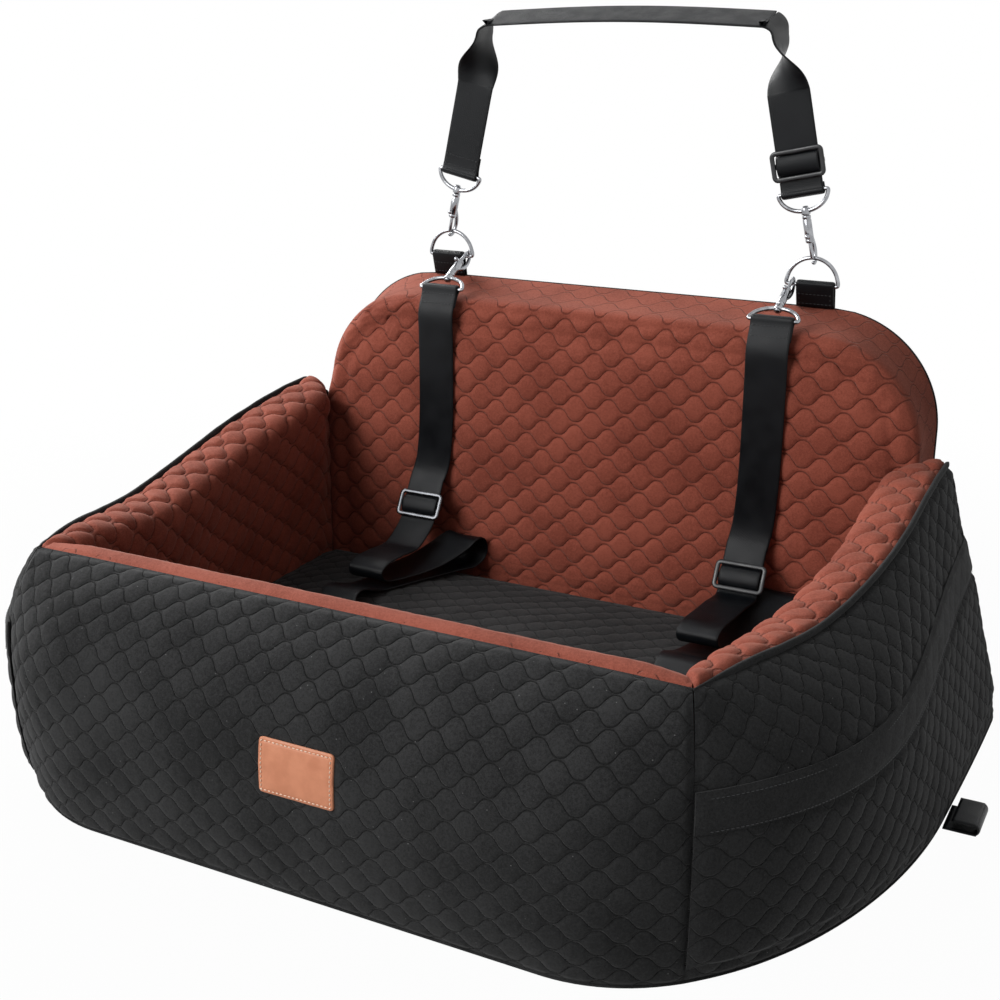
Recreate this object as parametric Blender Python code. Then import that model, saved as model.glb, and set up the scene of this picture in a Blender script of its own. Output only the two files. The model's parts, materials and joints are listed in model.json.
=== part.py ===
"""Dog car seat: a padded tub with a tall backrest, a hand strap and two dog tethers.

The frame: origin at the middle of the underside, +X to the sitter's left as seen from
the front, +Y to the back of the seat, +Z up. Lengths are in metres.
"""
import math

import bmesh
import bpy
from mathutils import Matrix, Vector

# Overall sizes
SEAT_WIDTH = 0.772
SEAT_DEPTH = 0.570
BACK_HEIGHT = 0.337
BACK_WIDTH = 0.600
BACK_THICKNESS = 0.065
FRONT_RIM_HEIGHT = 0.199
DIP_RIM_HEIGHT = 0.188
REAR_RIM_HEIGHT = 0.224

# Clearance and sheet goods
GAP = 0.0003
FABRIC = 0.0024
WEBBING_WIDTH = 0.038
WEBBING_THICKNESS = 0.0022

# Plan of the walls
CORNER_SPREAD = 0.192
CORNER_RUN = 0.317
RIM_FRONT_INSET = 0.063
RIM_FLARE = 0.058
RIM_FLARE_END_Y = 0.100
MITRE_FOOT_OUT = 0.012
SETTLE_Y = -0.060
INNER_SET = 0.0185
FRONT_BAND = 0.020
SIDE_BAND = 0.040
BAND_FADE_RUN = 0.030

# Height profile of the walls
BULGE_HEIGHT = 0.100
TUCK = 0.012
CREASE_DROP = 0.007
TOP_CROWN = 0.0015
DIP_Y = -0.085
RIM_CURVE_POWER = 3.0
TUCK_POWER = 2.5
FLARE_POWER = 1.7
ROW_SHARES = (0.0, 0.07, 0.18, 0.36, 0.56, 0.72, 0.88, 1.0)

# Backrest section, measured from the rear outline towards the front face
BACK_CORNER_RADIUS = 0.100
BACK_TOP_SLOPE = 0.010
BACK_SIDE_SLOPE = 0.002
BACK_CREASE_RUN = 0.014
BACK_EDGE_ROUND = 0.016
BACK_PANEL_CROWN = 0.002
BACK_CORNER_STEPS = 7

# Cushion
CUSHION_TOP = 0.062
CUSHION_ROLL = 0.009
CUSHION_ROLL_RUN = 0.038
CUSHION_WAIST = 0.004
CUSHION_CLEAR = 0.001
CUSHION_CORNER_RADIUS = 0.018

# Pockets and label
POCKET_STAND = 0.0005
POCKET_HEM_THICKNESS = 0.0030
POCKET_FOOT_SHARE = 0.07
POCKET_HEM_FOOT_SHARE = 0.58
POCKET_TOP_SHARE = 0.72
LABEL_WIDTH = 0.060
LABEL_HEIGHT = 0.040
LABEL_THICKNESS = 0.0016
LABEL_X = 0.013
LABEL_FOOT_Z = 0.088

# D-rings and their tabs
RING_SPACING = 0.364
RING_INSET = 0.007
RING_LIFT = 0.020
RING_WIRE = 0.0036
RING_HALF_WIDTH = 0.0232
RING_RISE = 0.024
RING_STEPS = 12
TAB_WIDTH = 0.034
TAB_SHIFT = 0.0035
TAB_FOOT_INSET = 0.0025
TAB_FOOT_DEPTH = 0.0046

# Bolt snap
SNAP_WIRE = 0.0034
SNAP_LENGTH = 0.058
SNAP_RING_OFFSET = 0.0039
EYE_WIRE = 0.0036
EYE_HALF_WIDTH = 0.0221
EYE_RISE = 0.0165
EYE_STEPS = 12
COLLAR_RADIUS = 0.0040
COLLAR_FOOT = 0.0384
COLLAR_HEIGHT = 0.0060
COLLAR_BORE = 0.0018
STUD_RADIUS = 0.0015
STUD_HEAD_RADIUS = 0.0028
STUD_HEAD_HEIGHT = 0.0015
BARREL_RADIUS = 0.0038
BARREL_FOOT = 0.0140
BARREL_BORE = 0.0019
BORE_TOP = 0.0345
PIN_RADIUS = 0.0016
PIN_TOP = 0.0245
PIN_TRAVEL = 0.0085
KNOB_HEIGHT = 0.0200
KNOB_STEM_RADIUS = 0.0011
KNOB_RADIUS = 0.0021
KNOB_REACH = 0.0068
SLOT_CLEAR = 0.0004
HOOK_DEPTH = 0.0105
HOOK_TIP_HEIGHT = -0.0024
# The hook's line as shares of its depth and of the barrel's foot height
HOOK_DEPTH_SHARES = (0.10, 0.42, 0.80, 1.00, 0.94, 0.70, 0.38, 0.12, -0.02)
HOOK_HEIGHT_SHARES = (1.80, 1.50, 1.02, 0.50, 0.08, -0.22, -0.32, -0.28, -0.171)
SNAP_SIDES = 12

# Tri-glides
GLIDE_HEIGHT = 0.027
GLIDE_RAIL = 0.0042
GLIDE_CHEEK = 0.0040
GLIDE_THICKNESS = 0.0024
GLIDE_CLEAR = 0.0008
GLIDE_ROUND = 0.0012

# Hand strap
CARRY_TOP = 0.584
CARRY_TOP_HALF = 0.138
CARRY_CORNER_RADIUS = 0.014
CARRY_TWIST_RUN = 0.050
CARRY_TWIST_LEAD = 0.004
CARRY_CROWN = 0.004
CARRY_HEM = 0.018
CARRY_TAIL = 0.006
CARRY_GLIDE_LIFT = 0.0245
TWIST_STEPS = 8
CORNER_STEPS = 5
CROWN_STEPS = 4

# Tethers: they hang over the backrest's edge and lie in folds on the cushion
TETHER_TILT_DEG = 27.5
TETHER_REACH = 0.185
TETHER_HEM = 0.018
LEASH_HEM = 0.015
LEASH_AXIS_LIFT = 0.0048
TETHER_DROP_FORWARD_SHARES = (
    0.036, 0.036, 0.036, 0.043,
)
TETHER_DROP_HEIGHT_SHARES = (
    0.88, 0.60, 0.32, 0.10,
)
TETHER_DROP_DRIFT_SHARES = (
    0.00, 0.00, -0.05, -0.25,
)
TETHER_FOLD_FORWARD_SHARES = (
    0.3243, 0.4432, 0.5514, 0.6135, 0.6243, 0.5946, 0.5189, 0.3892, 0.2703, 0.1730, 0.0973,
    0.0514, 0.0270, 0.0281, 0.0649, 0.1351, 0.2703, 0.4324, 0.5730, 0.6486, 0.7243, 0.7838,
    0.8324, 0.8649, 0.8946, 0.9270,
)
TETHER_FOLD_HEIGHT_SHARES = (
    0.982, 0.946, 0.911, 0.750, 0.554, 0.339, 0.250, 0.286, 0.464, 0.750, 1.000, 0.964,
    0.714, 0.393, 0.154, 0.043, 0.012, 0.011, 0.018, 0.093, 0.268, 0.393, 0.350, 0.207,
    0.075, 0.029,
)
TETHER_FOLD_DRIFT_SHARES = (
    -0.60, -0.80, -1.00, -1.10, -1.10, -1.00, -0.70, 0.00, 0.80, 1.50, 2.00, 2.20, 2.25,
    2.20, 2.00, 1.50, 0.70, -0.20, -0.90, -1.12, -1.25, -1.30, -1.30, -1.25, -1.15, -1.05,
)
TETHER_FOLD_HEIGHT = 0.028
TETHER_GLIDE_FORWARD_SHARE = 0.147
TETHER_GLIDE_DRIFT_SHARE = -0.5
TETHER_GLIDE_LIFT_LEFT = 0.0586
TETHER_GLIDE_LIFT_RIGHT = 0.0416
TETHER_GLIDE_LEAN_DEG = 60.0
TETHER_GLIDE_RUN_ABOVE = 0.028
TETHER_GLIDE_RUN_BELOW = 0.0174
TETHER_DRIFT_LEFT = 0.016
TETHER_DRIFT_RIGHT = 0.012
PATH_STEPS = 2

# Base loops
BASE_LOOP_Y = 0.045
BASE_LOOP_REACH = 0.026
BASE_LOOP_BEND = 0.0040
BASE_LOOP_FOOT = 0.006

# Derived places
COVER_SKIN = GAP + FABRIC
POCKET_SKIN = POCKET_STAND + POCKET_HEM_THICKNESS
CORE_FRONT_Y = -(SEAT_DEPTH / 2 - COVER_SKIN)
CORE_REAR_Y = SEAT_DEPTH / 2 - COVER_SKIN
RING_Y = SEAT_DEPTH / 2 - RING_INSET
TAB_FOOT_Y = SEAT_DEPTH / 2 - TAB_FOOT_INSET
CORE_HALF_WIDTH = SEAT_WIDTH / 2 - COVER_SKIN - POCKET_SKIN
CORE_FOOT = FABRIC + GAP
BACK_HALF = BACK_WIDTH / 2
BACK_FRONT_Y = SEAT_DEPTH / 2 - BACK_THICKNESS
RIM_FRONT_Y = -(SEAT_DEPTH / 2 - RIM_FRONT_INSET)
RIM_REAR_HALF = BACK_HALF + GAP + COVER_SKIN + INNER_SET
RIM_CORNER_HALF = RIM_REAR_HALF - RIM_FLARE
REAR_RADIUS = CORE_HALF_WIDTH - RIM_REAR_HALF
REAR_ARC_Y = CORE_REAR_Y - REAR_RADIUS
CORNER_CENTRE_X = CORE_HALF_WIDTH - CORNER_SPREAD
CORNER_CENTRE_Y = CORE_FRONT_Y + CORNER_RUN
MITRE_FOOT_X = RIM_CORNER_HALF + MITRE_FOOT_OUT
RING_X = RING_SPACING / 2
RING_Z = BACK_HEIGHT + RING_LIFT
RING_TOP_Z = RING_Z + RING_RISE
TETHER_OFFSET = (RING_HALF_WIDTH - RING_WIRE / 2 + TAB_WIDTH / 2 - TAB_SHIFT) / 2
TETHER_X = RING_X - TETHER_OFFSET
LAY_Z = CUSHION_TOP + GAP + WEBBING_THICKNESS / 2
LOOP_RADIUS = EYE_WIRE / 2 + GAP + WEBBING_THICKNESS / 2
PLY = (WEBBING_THICKNESS + GAP) / 2


def make_material(name, color, roughness, metallic=0.0):
    """Return a Principled material."""
    material = bpy.data.materials.new(name)
    material.use_nodes = True
    shader = material.node_tree.nodes["Principled BSDF"]
    shader.inputs["Base Color"].default_value = (*color, 1.0)
    shader.inputs["Roughness"].default_value = roughness
    shader.inputs["Metallic"].default_value = metallic
    material.diffuse_color = (*color, 1.0)
    return material


FINISHES = {
    "foam": ((0.75, 0.72, 0.62), 0.90, 0.0),
    "black_quilt": ((0.024, 0.024, 0.025), 0.85, 0.0),
    "rust_quilt": ((0.30, 0.080, 0.045), 0.85, 0.0),
    "webbing": ((0.008, 0.009, 0.011), 0.45, 0.0),
    "chrome": ((0.70, 0.71, 0.73), 0.18, 1.0),
    "black_plastic": ((0.012, 0.012, 0.013), 0.35, 0.0),
    "leather": ((0.62, 0.23, 0.12), 0.60, 0.0),
}


def place_mesh(name, mesh, finish, matrix=None, pivot=None):
    """Link one named object with its own material, on a pivot empty if it moves."""
    obj = bpy.data.objects.new(name, mesh)
    bpy.context.collection.objects.link(obj)
    obj.matrix_world = matrix or Matrix.Identity(4)
    if not mesh.materials:
        mesh.materials.append(None)
    slot = obj.material_slots[0]
    slot.link = "OBJECT"
    slot.material = make_material(name + "_finish", *FINISHES[finish])
    if pivot is not None:
        obj.parent = pivot
        obj.matrix_parent_inverse = pivot.matrix_world.inverted()
    return obj


def make_pivot(name, place):
    """Add an empty on a joint's axis, which carries the pieces that move."""
    pivot = bpy.data.objects.new(name, None)
    bpy.context.collection.objects.link(pivot)
    pivot.matrix_world = Matrix.Translation(Vector(place))
    return pivot


def mesh_from_bmesh(name, bm, smooth_angle_deg=40.0):
    """Close off a bmesh: merge, orient outwards, and shade its round parts smooth."""
    bmesh.ops.remove_doubles(bm, verts=bm.verts, dist=GAP / 10)
    bmesh.ops.dissolve_degenerate(bm, edges=bm.edges, dist=GAP / 10)
    bmesh.ops.recalc_face_normals(bm, faces=bm.faces)
    if bm.calc_volume(signed=True) < 0:
        bmesh.ops.reverse_faces(bm, faces=bm.faces)
    mesh = bpy.data.meshes.new(name)
    bm.to_mesh(mesh)
    bm.free()
    mesh.shade_smooth()
    mesh.set_sharp_from_angle(angle=math.radians(smooth_angle_deg))
    return mesh


def split_quad(bm, a, b, c, d):
    """Add a quad, as two triangles that always rise the same way where it isn't flat."""
    normal = (c.co - a.co).cross(d.co - b.co)
    if normal.length and abs((b.co - a.co).dot(normal.normalized())) < GAP / 1000:
        bm.faces.new((a, b, c, d))
    elif a.co.z <= b.co.z:
        bm.faces.new((a, b, c))
        bm.faces.new((a, c, d))
    else:
        bm.faces.new((a, b, d))
        bm.faces.new((b, c, d))


def loft(name, loops, closed=False, smooth_angle_deg=40.0):
    """Skin a row of section loops, each with as many points, into one closed body."""
    bm = bmesh.new()
    rings = [[bm.verts.new(point) for point in loop] for loop in loops]
    pairs = list(zip(rings, rings[1:]))
    if closed:
        pairs.append((rings[-1], rings[0]))
    for ring, following in pairs:
        count = len(ring)
        for i in range(count):
            j = (i + 1) % count
            split_quad(bm, ring[i], ring[j], following[j], following[i])
    if not closed:
        bm.faces.new(rings[0][::-1])
        bm.faces.new(rings[-1])
    return mesh_from_bmesh(name, bm, smooth_angle_deg)


def tube(name, points, diameter, sides=8, closed=False):
    """Sweep a round wire along points with a turn that never twists."""
    count = len(points)
    tangents = []
    for i, point in enumerate(points):
        before = points[i - 1] if closed or i else point
        after = points[(i + 1) % count] if closed or i < count - 1 else point
        tangents.append((after - before).normalized())
    normal = tangents[0].orthogonal().normalized()
    loops = []
    for point, tangent in zip(points, tangents):
        normal = (normal - tangent * normal.dot(tangent)).normalized()
        side = tangent.cross(normal)
        loops.append([
            point + (normal * math.cos(a) + side * math.sin(a)) * diameter / 2
            for a in (math.tau * k / sides for k in range(sides))
        ])
    return loft(name, loops, closed)


def ribbon(name, stations, width=WEBBING_WIDTH):
    """Sweep flat webbing through stations of (point, width direction)."""
    loops = []
    last = len(stations) - 1
    for i, (point, across) in enumerate(stations):
        before = stations[max(i - 1, 0)][0]
        after = stations[min(i + 1, last)][0]
        tangent = (after - before).normalized()
        across = (across - tangent * across.dot(tangent)).normalized()
        normal = tangent.cross(across) * WEBBING_THICKNESS / 2
        reach = across * width / 2
        loops.append([point - reach - normal, point + reach - normal,
                      point + reach + normal, point - reach + normal])
    return loft(name, loops)


def smooth_path(points, steps):
    """Thread a Catmull-Rom curve through points."""
    path = []
    last = len(points) - 1
    for i in range(last):
        p0, p1 = points[max(i - 1, 0)], points[i]
        p2, p3 = points[i + 1], points[min(i + 2, last)]
        for k in range(steps):
            t = k / steps
            path.append(0.5 * (2 * p1 + (p2 - p0) * t + (2 * p0 - 5 * p1 + 4 * p2 - p3) * t * t
                               + (3 * p1 - p0 - 3 * p2 + p3) * t ** 3))
    path.append(points[last])
    return path


def ease(share):
    """Smoothly rise from 0 to 1."""
    share = min(max(share, 0.0), 1.0)
    return share * share * (3 - 2 * share)


# Walls


def rim_height(y):
    """Height of the rim seam: a shallow dip, then a rise to the backrest."""
    if y < DIP_Y:
        fall = ease((y - RIM_FRONT_Y) / (DIP_Y - RIM_FRONT_Y))
        return FRONT_RIM_HEIGHT + (DIP_RIM_HEIGHT - FRONT_RIM_HEIGHT) * fall
    rise = ease((y - DIP_Y) / (REAR_ARC_Y - DIP_Y))
    return DIP_RIM_HEIGHT + (REAR_RIM_HEIGHT - DIP_RIM_HEIGHT) * rise


def bulge_front_y(x):
    """Widest line of the front core in plan: straight, then an elliptic corner."""
    over = max(abs(x) - CORNER_CENTRE_X, 0.0) / CORNER_SPREAD
    return CORNER_CENTRE_Y - CORNER_RUN * math.sqrt(1 - over * over)


def bulge_side_x(y):
    """Widest line of the side core in plan."""
    over = max(CORNER_CENTRE_Y - y, 0.0) / CORNER_RUN
    return CORNER_CENTRE_X + CORNER_SPREAD * math.sqrt(max(1 - over * over, 0.0))


def rim_side_x(y):
    """Plan line of the side rim seam, which flares out from the front corner."""
    share = max(RIM_FLARE_END_Y - y, 0.0) / (RIM_FLARE_END_Y - RIM_FRONT_Y)
    return RIM_REAR_HALF - RIM_FLARE * share ** FLARE_POWER


MITRE_FOOT_Y = bulge_front_y(MITRE_FOOT_X)


class Station:
    """One upright cut through a wall, at a plan point of the rim and one of the bulge."""

    def __init__(self, rim, foot, height, band, inner=None, straight=0.0):
        self.rim = Vector(rim)
        self.out = (Vector(foot) - self.rim).normalized()
        self.reach = (Vector(foot) - self.rim).length
        self.height = height
        self.band = band
        self.inner = inner
        self.straight = straight

    def shifted(self, by):
        """Return this station moved in plan."""
        moved = Station(self.rim + by, self.rim + by + self.out * self.reach,
                        self.height, self.band, self.inner, self.straight)
        return moved

    def at(self, point):
        """Turn a point (outward, up) of the cut into a world point."""
        plan = self.rim + self.out * point[0]
        return Vector((plan.x, plan.y, point[1]))

    def outward(self, z):
        """How far the outer face stands out from the rim: bulged in front, straight behind."""
        slope = self.reach * (1 - min((z - CORE_FOOT) / (self.height - CORE_FOOT), 1.0))
        if z < BULGE_HEIGHT:
            share = (BULGE_HEIGHT - z) / (BULGE_HEIGHT - CORE_FOOT)
            bulge = self.reach - TUCK * share ** TUCK_POWER
        else:
            share = min((z - BULGE_HEIGHT) / (self.height - BULGE_HEIGHT), 1.0)
            bulge = self.reach * (1 - share ** RIM_CURVE_POWER)
        return bulge + (slope - bulge) * self.straight

    def outer_line(self, shares=ROW_SHARES):
        """Outer face from the foot up to the rim seam."""
        heights = [CORE_FOOT + share * (self.height - CORE_FOOT) for share in shares]
        return [(self.outward(z), z) for z in heights]

    def inner_line(self):
        """From the rim seam over the top band and down the inner face."""
        return [
            (0.0, self.height),
            (-self.band / 2, self.height + TOP_CROWN),
            (-self.band, self.height - CREASE_DROP),
            (-INNER_SET, BULGE_HEIGHT),
            (-INNER_SET, CORE_FOOT),
        ]

    def core_loop(self):
        """Closed section of the padded core."""
        loop = [self.at(p) for p in self.outer_line() + self.inner_line()[1:]]
        if self.inner is not None:
            inner = Vector(self.inner)
            middle = (self.rim + inner) / 2
            crown = TOP_CROWN * (self.rim - inner).length / INNER_SET
            lows = (REAR_RIM_HEIGHT - CREASE_DROP, BULGE_HEIGHT, CORE_FOOT)
            loop = loop[:len(ROW_SHARES)]
            loop.append(Vector((middle.x, middle.y, self.height + crown)))
            loop += [Vector((inner.x, inner.y, z)) for z in lows]
        return loop

    def slab_loop(self, line, near, far, foot_trim=0.0, head_trim=0.0):
        """Closed section of a sheet that lies from near to far outside a line."""
        line = trimmed(line, foot_trim, head_trim)
        level = line[0].y < CORE_FOOT + GAP
        inside = [self.at(p) for p in offset_line(line, near, level)]
        outside = [self.at(p) for p in offset_line(line, far, level)]
        return inside + outside[::-1]


def trimmed(line, foot_trim, head_trim):
    """Shorten a line by a length at each end."""
    points = [Vector(p) for p in line]
    if foot_trim:
        points[0] = points[0] + (points[1] - points[0]).normalized() * foot_trim
    if head_trim:
        points[-1] = points[-1] + (points[-2] - points[-1]).normalized() * head_trim
    return points


def offset_line(line, distance, level_foot=False):
    """Move a line sideways, to its right as it runs; a level foot stays at its height."""
    points = [Vector(p) for p in line]
    moved = []
    for i, point in enumerate(points):
        normals = []
        for a, b in ((i - 1, i), (i, i + 1)):
            if a >= 0 and b < len(points):
                run = (points[b] - points[a]).normalized()
                normals.append(Vector((run.y, -run.x)))
        mean = sum(normals, Vector((0.0, 0.0))).normalized()
        if level_foot and i == 0:
            moved.append(point + Vector((distance / mean.x, 0.0)))
        else:
            moved.append(point + mean * (distance / max(mean.dot(normals[0]), 0.5)))
    return moved


def front_stations():
    """Cuts of the front wall from its left mitre to its right one."""
    shares = (-1.0, -0.91, -0.82, -0.72, -0.40, 0.0, 0.40, 0.72, 0.82, 0.91, 1.0)
    cuts = []
    for share in shares:
        foot_x = MITRE_FOOT_X * share
        cuts.append(Station((RIM_CORNER_HALF * share, RIM_FRONT_Y),
                            (foot_x, bulge_front_y(foot_x)), FRONT_RIM_HEIGHT, FRONT_BAND))
    lean = GAP / 2 / abs(cuts[-1].out.y)
    cuts[0] = cuts[0].shifted(Vector((lean, 0.0)))
    cuts[-1] = cuts[-1].shifted(Vector((-lean, 0.0)))
    return cuts


def band_width(y):
    """Width of the top band: narrow at the mitre, wide along the side, narrow at the back."""
    grow = ease((y - RIM_FRONT_Y) / (SETTLE_Y - RIM_FRONT_Y))
    wide = FRONT_BAND + (SIDE_BAND - FRONT_BAND) * grow
    fade = ease((y - (BACK_FRONT_Y - BAND_FADE_RUN)) / (BAND_FADE_RUN - GAP))
    return wide + (INNER_SET - wide) * fade


def side_station(foot_y, foot_x=None):
    """Cut of the right wall whose widest point is at foot_y."""
    share = min((foot_y - MITRE_FOOT_Y) / (SETTLE_Y - MITRE_FOOT_Y), 1.0)
    rim_y = foot_y if share >= 1.0 else RIM_FRONT_Y + (SETTLE_Y - RIM_FRONT_Y) * share
    foot = (bulge_side_x(foot_y), foot_y)
    straight = ease((foot_y - MITRE_FOOT_Y) / (REAR_ARC_Y - MITRE_FOOT_Y))
    return Station((rim_side_x(rim_y), rim_y), foot, rim_height(rim_y), band_width(rim_y),
                   straight=straight)


def side_stations():
    """Cuts of the right wall from the front mitre to the rear arc."""
    run_shares = (0.0, 0.13, 0.30, 0.52, 0.76, 1.0)
    feet = [MITRE_FOOT_Y + (CORNER_CENTRE_Y - MITRE_FOOT_Y) * share for share in run_shares]
    feet.append((CORNER_CENTRE_Y + BACK_FRONT_Y - BAND_FADE_RUN) / 2)
    feet.append(BACK_FRONT_Y - BAND_FADE_RUN)
    feet.append(BACK_FRONT_Y - GAP)
    feet.append(REAR_ARC_Y)
    cuts = [side_station(y) for y in feet]
    lean = GAP / 2 / abs(cuts[0].out.y)
    cuts[0] = cuts[0].shifted(Vector((lean, 0.0)))
    return cuts


def rear_stations(last_x):
    """Cuts that turn about the rear end of the rim, and a last one beside the backrest."""
    pivot = Vector((RIM_REAR_HALF, REAR_ARC_Y))
    inner = (RIM_REAR_HALF - INNER_SET, REAR_ARC_Y)
    cuts = []
    for angle in (22.5, 45.0, 67.5, 90.0):
        turn = math.radians(angle)
        out = Vector((math.cos(turn), math.sin(turn)))
        cuts.append(Station(pivot, pivot + out * REAR_RADIUS, REAR_RIM_HEIGHT, INNER_SET, inner,
                            1.0))
    beside = Vector((last_x, REAR_ARC_Y))
    drop = CREASE_DROP * (RIM_REAR_HALF - last_x) / INNER_SET
    cuts.append(Station(beside, beside + Vector((0.0, REAR_RADIUS)), REAR_RIM_HEIGHT - drop,
                        INNER_SET, tuple(beside), 1.0))
    return cuts


def mirrored(loops, side):
    """Mirror loops to the left wall where side is -1."""
    return [[Vector((side * p.x, p.y, p.z)) for p in loop] for loop in loops]


def build_front_wall():
    """Core, cover and liner of the front wall."""
    cuts = front_stations()
    place_mesh("foam_front", loft("foam_front", [cut.core_loop() for cut in cuts]), "foam")
    cover = [cut.slab_loop(cut.outer_line(), GAP, COVER_SKIN, 0.0, GAP) for cut in cuts]
    place_mesh("cover_front", loft("cover_front", cover), "black_quilt")
    liner = [cut.slab_loop(cut.inner_line(), GAP, COVER_SKIN, GAP, 0.0) for cut in cuts]
    place_mesh("liner_front", loft("liner_front", liner), "rust_quilt")


def build_side_wall(side, suffix):
    """Core, cover, liner and pocket of one side wall."""
    cuts = side_stations()
    core = [cut.core_loop() for cut in cuts + rear_stations(RIM_REAR_HALF - INNER_SET)]
    place_mesh("foam_" + suffix, loft("foam_" + suffix, mirrored(core, side)), "foam")
    rear = rear_stations(BACK_HALF + GAP)
    cover = [cut.slab_loop(cut.outer_line(), GAP, COVER_SKIN, 0.0, GAP) for cut in cuts + rear]
    place_mesh("cover_" + suffix, loft("cover_" + suffix, mirrored(cover, side)), "black_quilt")
    liner_cuts = cuts[:-1] + [cuts[-1].shifted(Vector((0.0, -GAP)))]
    liner = [cut.slab_loop(cut.inner_line(), GAP, COVER_SKIN, GAP, 0.0) for cut in liner_cuts]
    place_mesh("liner_" + suffix, loft("liner_" + suffix, mirrored(liner, side)), "rust_quilt")
    build_pocket(cuts + rear[:2], side, suffix)


def rows_between(low, high):
    """Row shares from low to high with the cover's own rows between them."""
    return [low] + [row for row in ROW_SHARES if low < row < high] + [high]


def build_pocket(cuts, side, suffix):
    """Pocket panel on the side cover, with its thicker hem band above it."""
    near = COVER_SKIN + POCKET_STAND
    panel_rows = rows_between(POCKET_FOOT_SHARE, POCKET_HEM_FOOT_SHARE)
    panel = [cut.slab_loop(cut.outer_line(panel_rows), near, near + FABRIC, 0.0, GAP)
             for cut in cuts]
    name = "pocket_" + suffix
    place_mesh(name, loft(name, mirrored(panel, side)), "black_quilt")
    hem_rows = rows_between(POCKET_HEM_FOOT_SHARE, POCKET_TOP_SHARE)
    hem = [cut.slab_loop(cut.outer_line(hem_rows), near, near + POCKET_HEM_THICKNESS)
           for cut in cuts]
    name = "pocket_hem_" + suffix
    place_mesh(name, loft(name, mirrored(hem, side)), "black_quilt")


def build_label():
    """Leather label sewn to the front cover."""
    cuts = front_stations()
    span = FRONT_RIM_HEIGHT - CORE_FOOT
    rows = rows_between((LABEL_FOOT_Z - CORE_FOOT) / span,
                        (LABEL_FOOT_Z + LABEL_HEIGHT - CORE_FOOT) / span)
    near = COVER_SKIN + GAP
    loops = []
    for share in (-0.5, 0.0, 0.5):
        x = LABEL_X + share * LABEL_WIDTH
        cut = Station((x, RIM_FRONT_Y), (x, bulge_front_y(x)), cuts[0].height, FRONT_BAND)
        loops.append(cut.slab_loop(cut.outer_line(rows), near, near + LABEL_THICKNESS))
    place_mesh("leather_patch", loft("leather_patch", loops), "leather")


def foot_outline(out_by):
    """Plan outline of the walls' foot on the right half, from the front middle to the back."""
    points = []
    front = [cut for cut in front_stations() if cut.rim.x >= 0.0]
    for cut in front[:-1] + side_stations() + rear_stations(BACK_HALF + GAP):
        reach = cut.outward(CORE_FOOT) + out_by
        points.append(cut.rim + cut.out * reach)
    return points


def build_base():
    """Base panel under everything, out to the covers' outer faces."""
    half = foot_outline(COVER_SKIN)
    outline = half + [Vector((-p.x, p.y)) for p in reversed(half) if p.x > GAP]
    loops = [[Vector((p.x, p.y, z)) for p in outline] for z in (0.0, FABRIC)]
    place_mesh("cover_base", loft("cover_base", loops), "black_quilt")


# Backrest


def back_outline(y, shrink, drop):
    """Upright outline of the backrest with rounded top corners."""
    half = BACK_HALF - shrink
    top = BACK_HEIGHT - drop
    foot = CORE_FOOT + shrink
    radius = BACK_CORNER_RADIUS - shrink
    points = [Vector((-half, y, foot))]
    for sign, angles in ((-1, range(BACK_CORNER_STEPS + 1)),
                         (1, range(BACK_CORNER_STEPS, -1, -1))):
        for k in angles:
            turn = math.pi / 2 * k / BACK_CORNER_STEPS
            points.append(Vector((sign * (half - radius + radius * math.cos(turn)), y,
                                  top - radius + radius * math.sin(turn))))
    points.append(Vector((half, y, foot)))
    return points


def back_rings(inset, rear_y):
    """Outlines from the rear edge to the front face, moved inwards by an inset."""
    front_y = BACK_FRONT_Y + inset
    return [
        back_outline(rear_y, inset, inset),
        back_outline(front_y + BACK_CREASE_RUN, BACK_SIDE_SLOPE + inset, BACK_TOP_SLOPE + inset),
        back_outline(front_y + BACK_CREASE_RUN / 4, BACK_EDGE_ROUND / 2 + inset,
                     BACK_TOP_SLOPE + BACK_EDGE_ROUND / 2 + inset),
        back_outline(front_y, BACK_EDGE_ROUND + inset, BACK_TOP_SLOPE + BACK_EDGE_ROUND + inset),
    ]


def build_backrest():
    """Core, rust face shell and black back panel of the backrest."""
    shell_rear = SEAT_DEPTH / 2 - FABRIC - GAP
    core = back_rings(COVER_SKIN, shell_rear)
    place_mesh("foam_back", loft("foam_back", core), "foam")
    outside = back_rings(0.0, shell_rear)
    inside = back_rings(FABRIC, shell_rear)
    bm = bmesh.new()
    rings = [[bm.verts.new(p) for p in loop] for loop in inside[::-1] + outside]
    for ring, following in zip(rings, rings[1:]):
        for i in range(len(ring)):
            j = (i + 1) % len(ring)
            bm.faces.new((ring[i], ring[j], following[j], following[i]))
    bm.faces.new(rings[0])
    bm.faces.new(rings[-1])
    place_mesh("liner_back", mesh_from_bmesh("liner_back", bm), "rust_quilt")
    panel = [back_outline(SEAT_DEPTH / 2 - FABRIC, 0.0, 0.0),
             back_outline(SEAT_DEPTH / 2, 0.0, 0.0)]
    place_mesh("cover_back", loft("cover_back", panel), "black_quilt")


# Cushion


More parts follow.
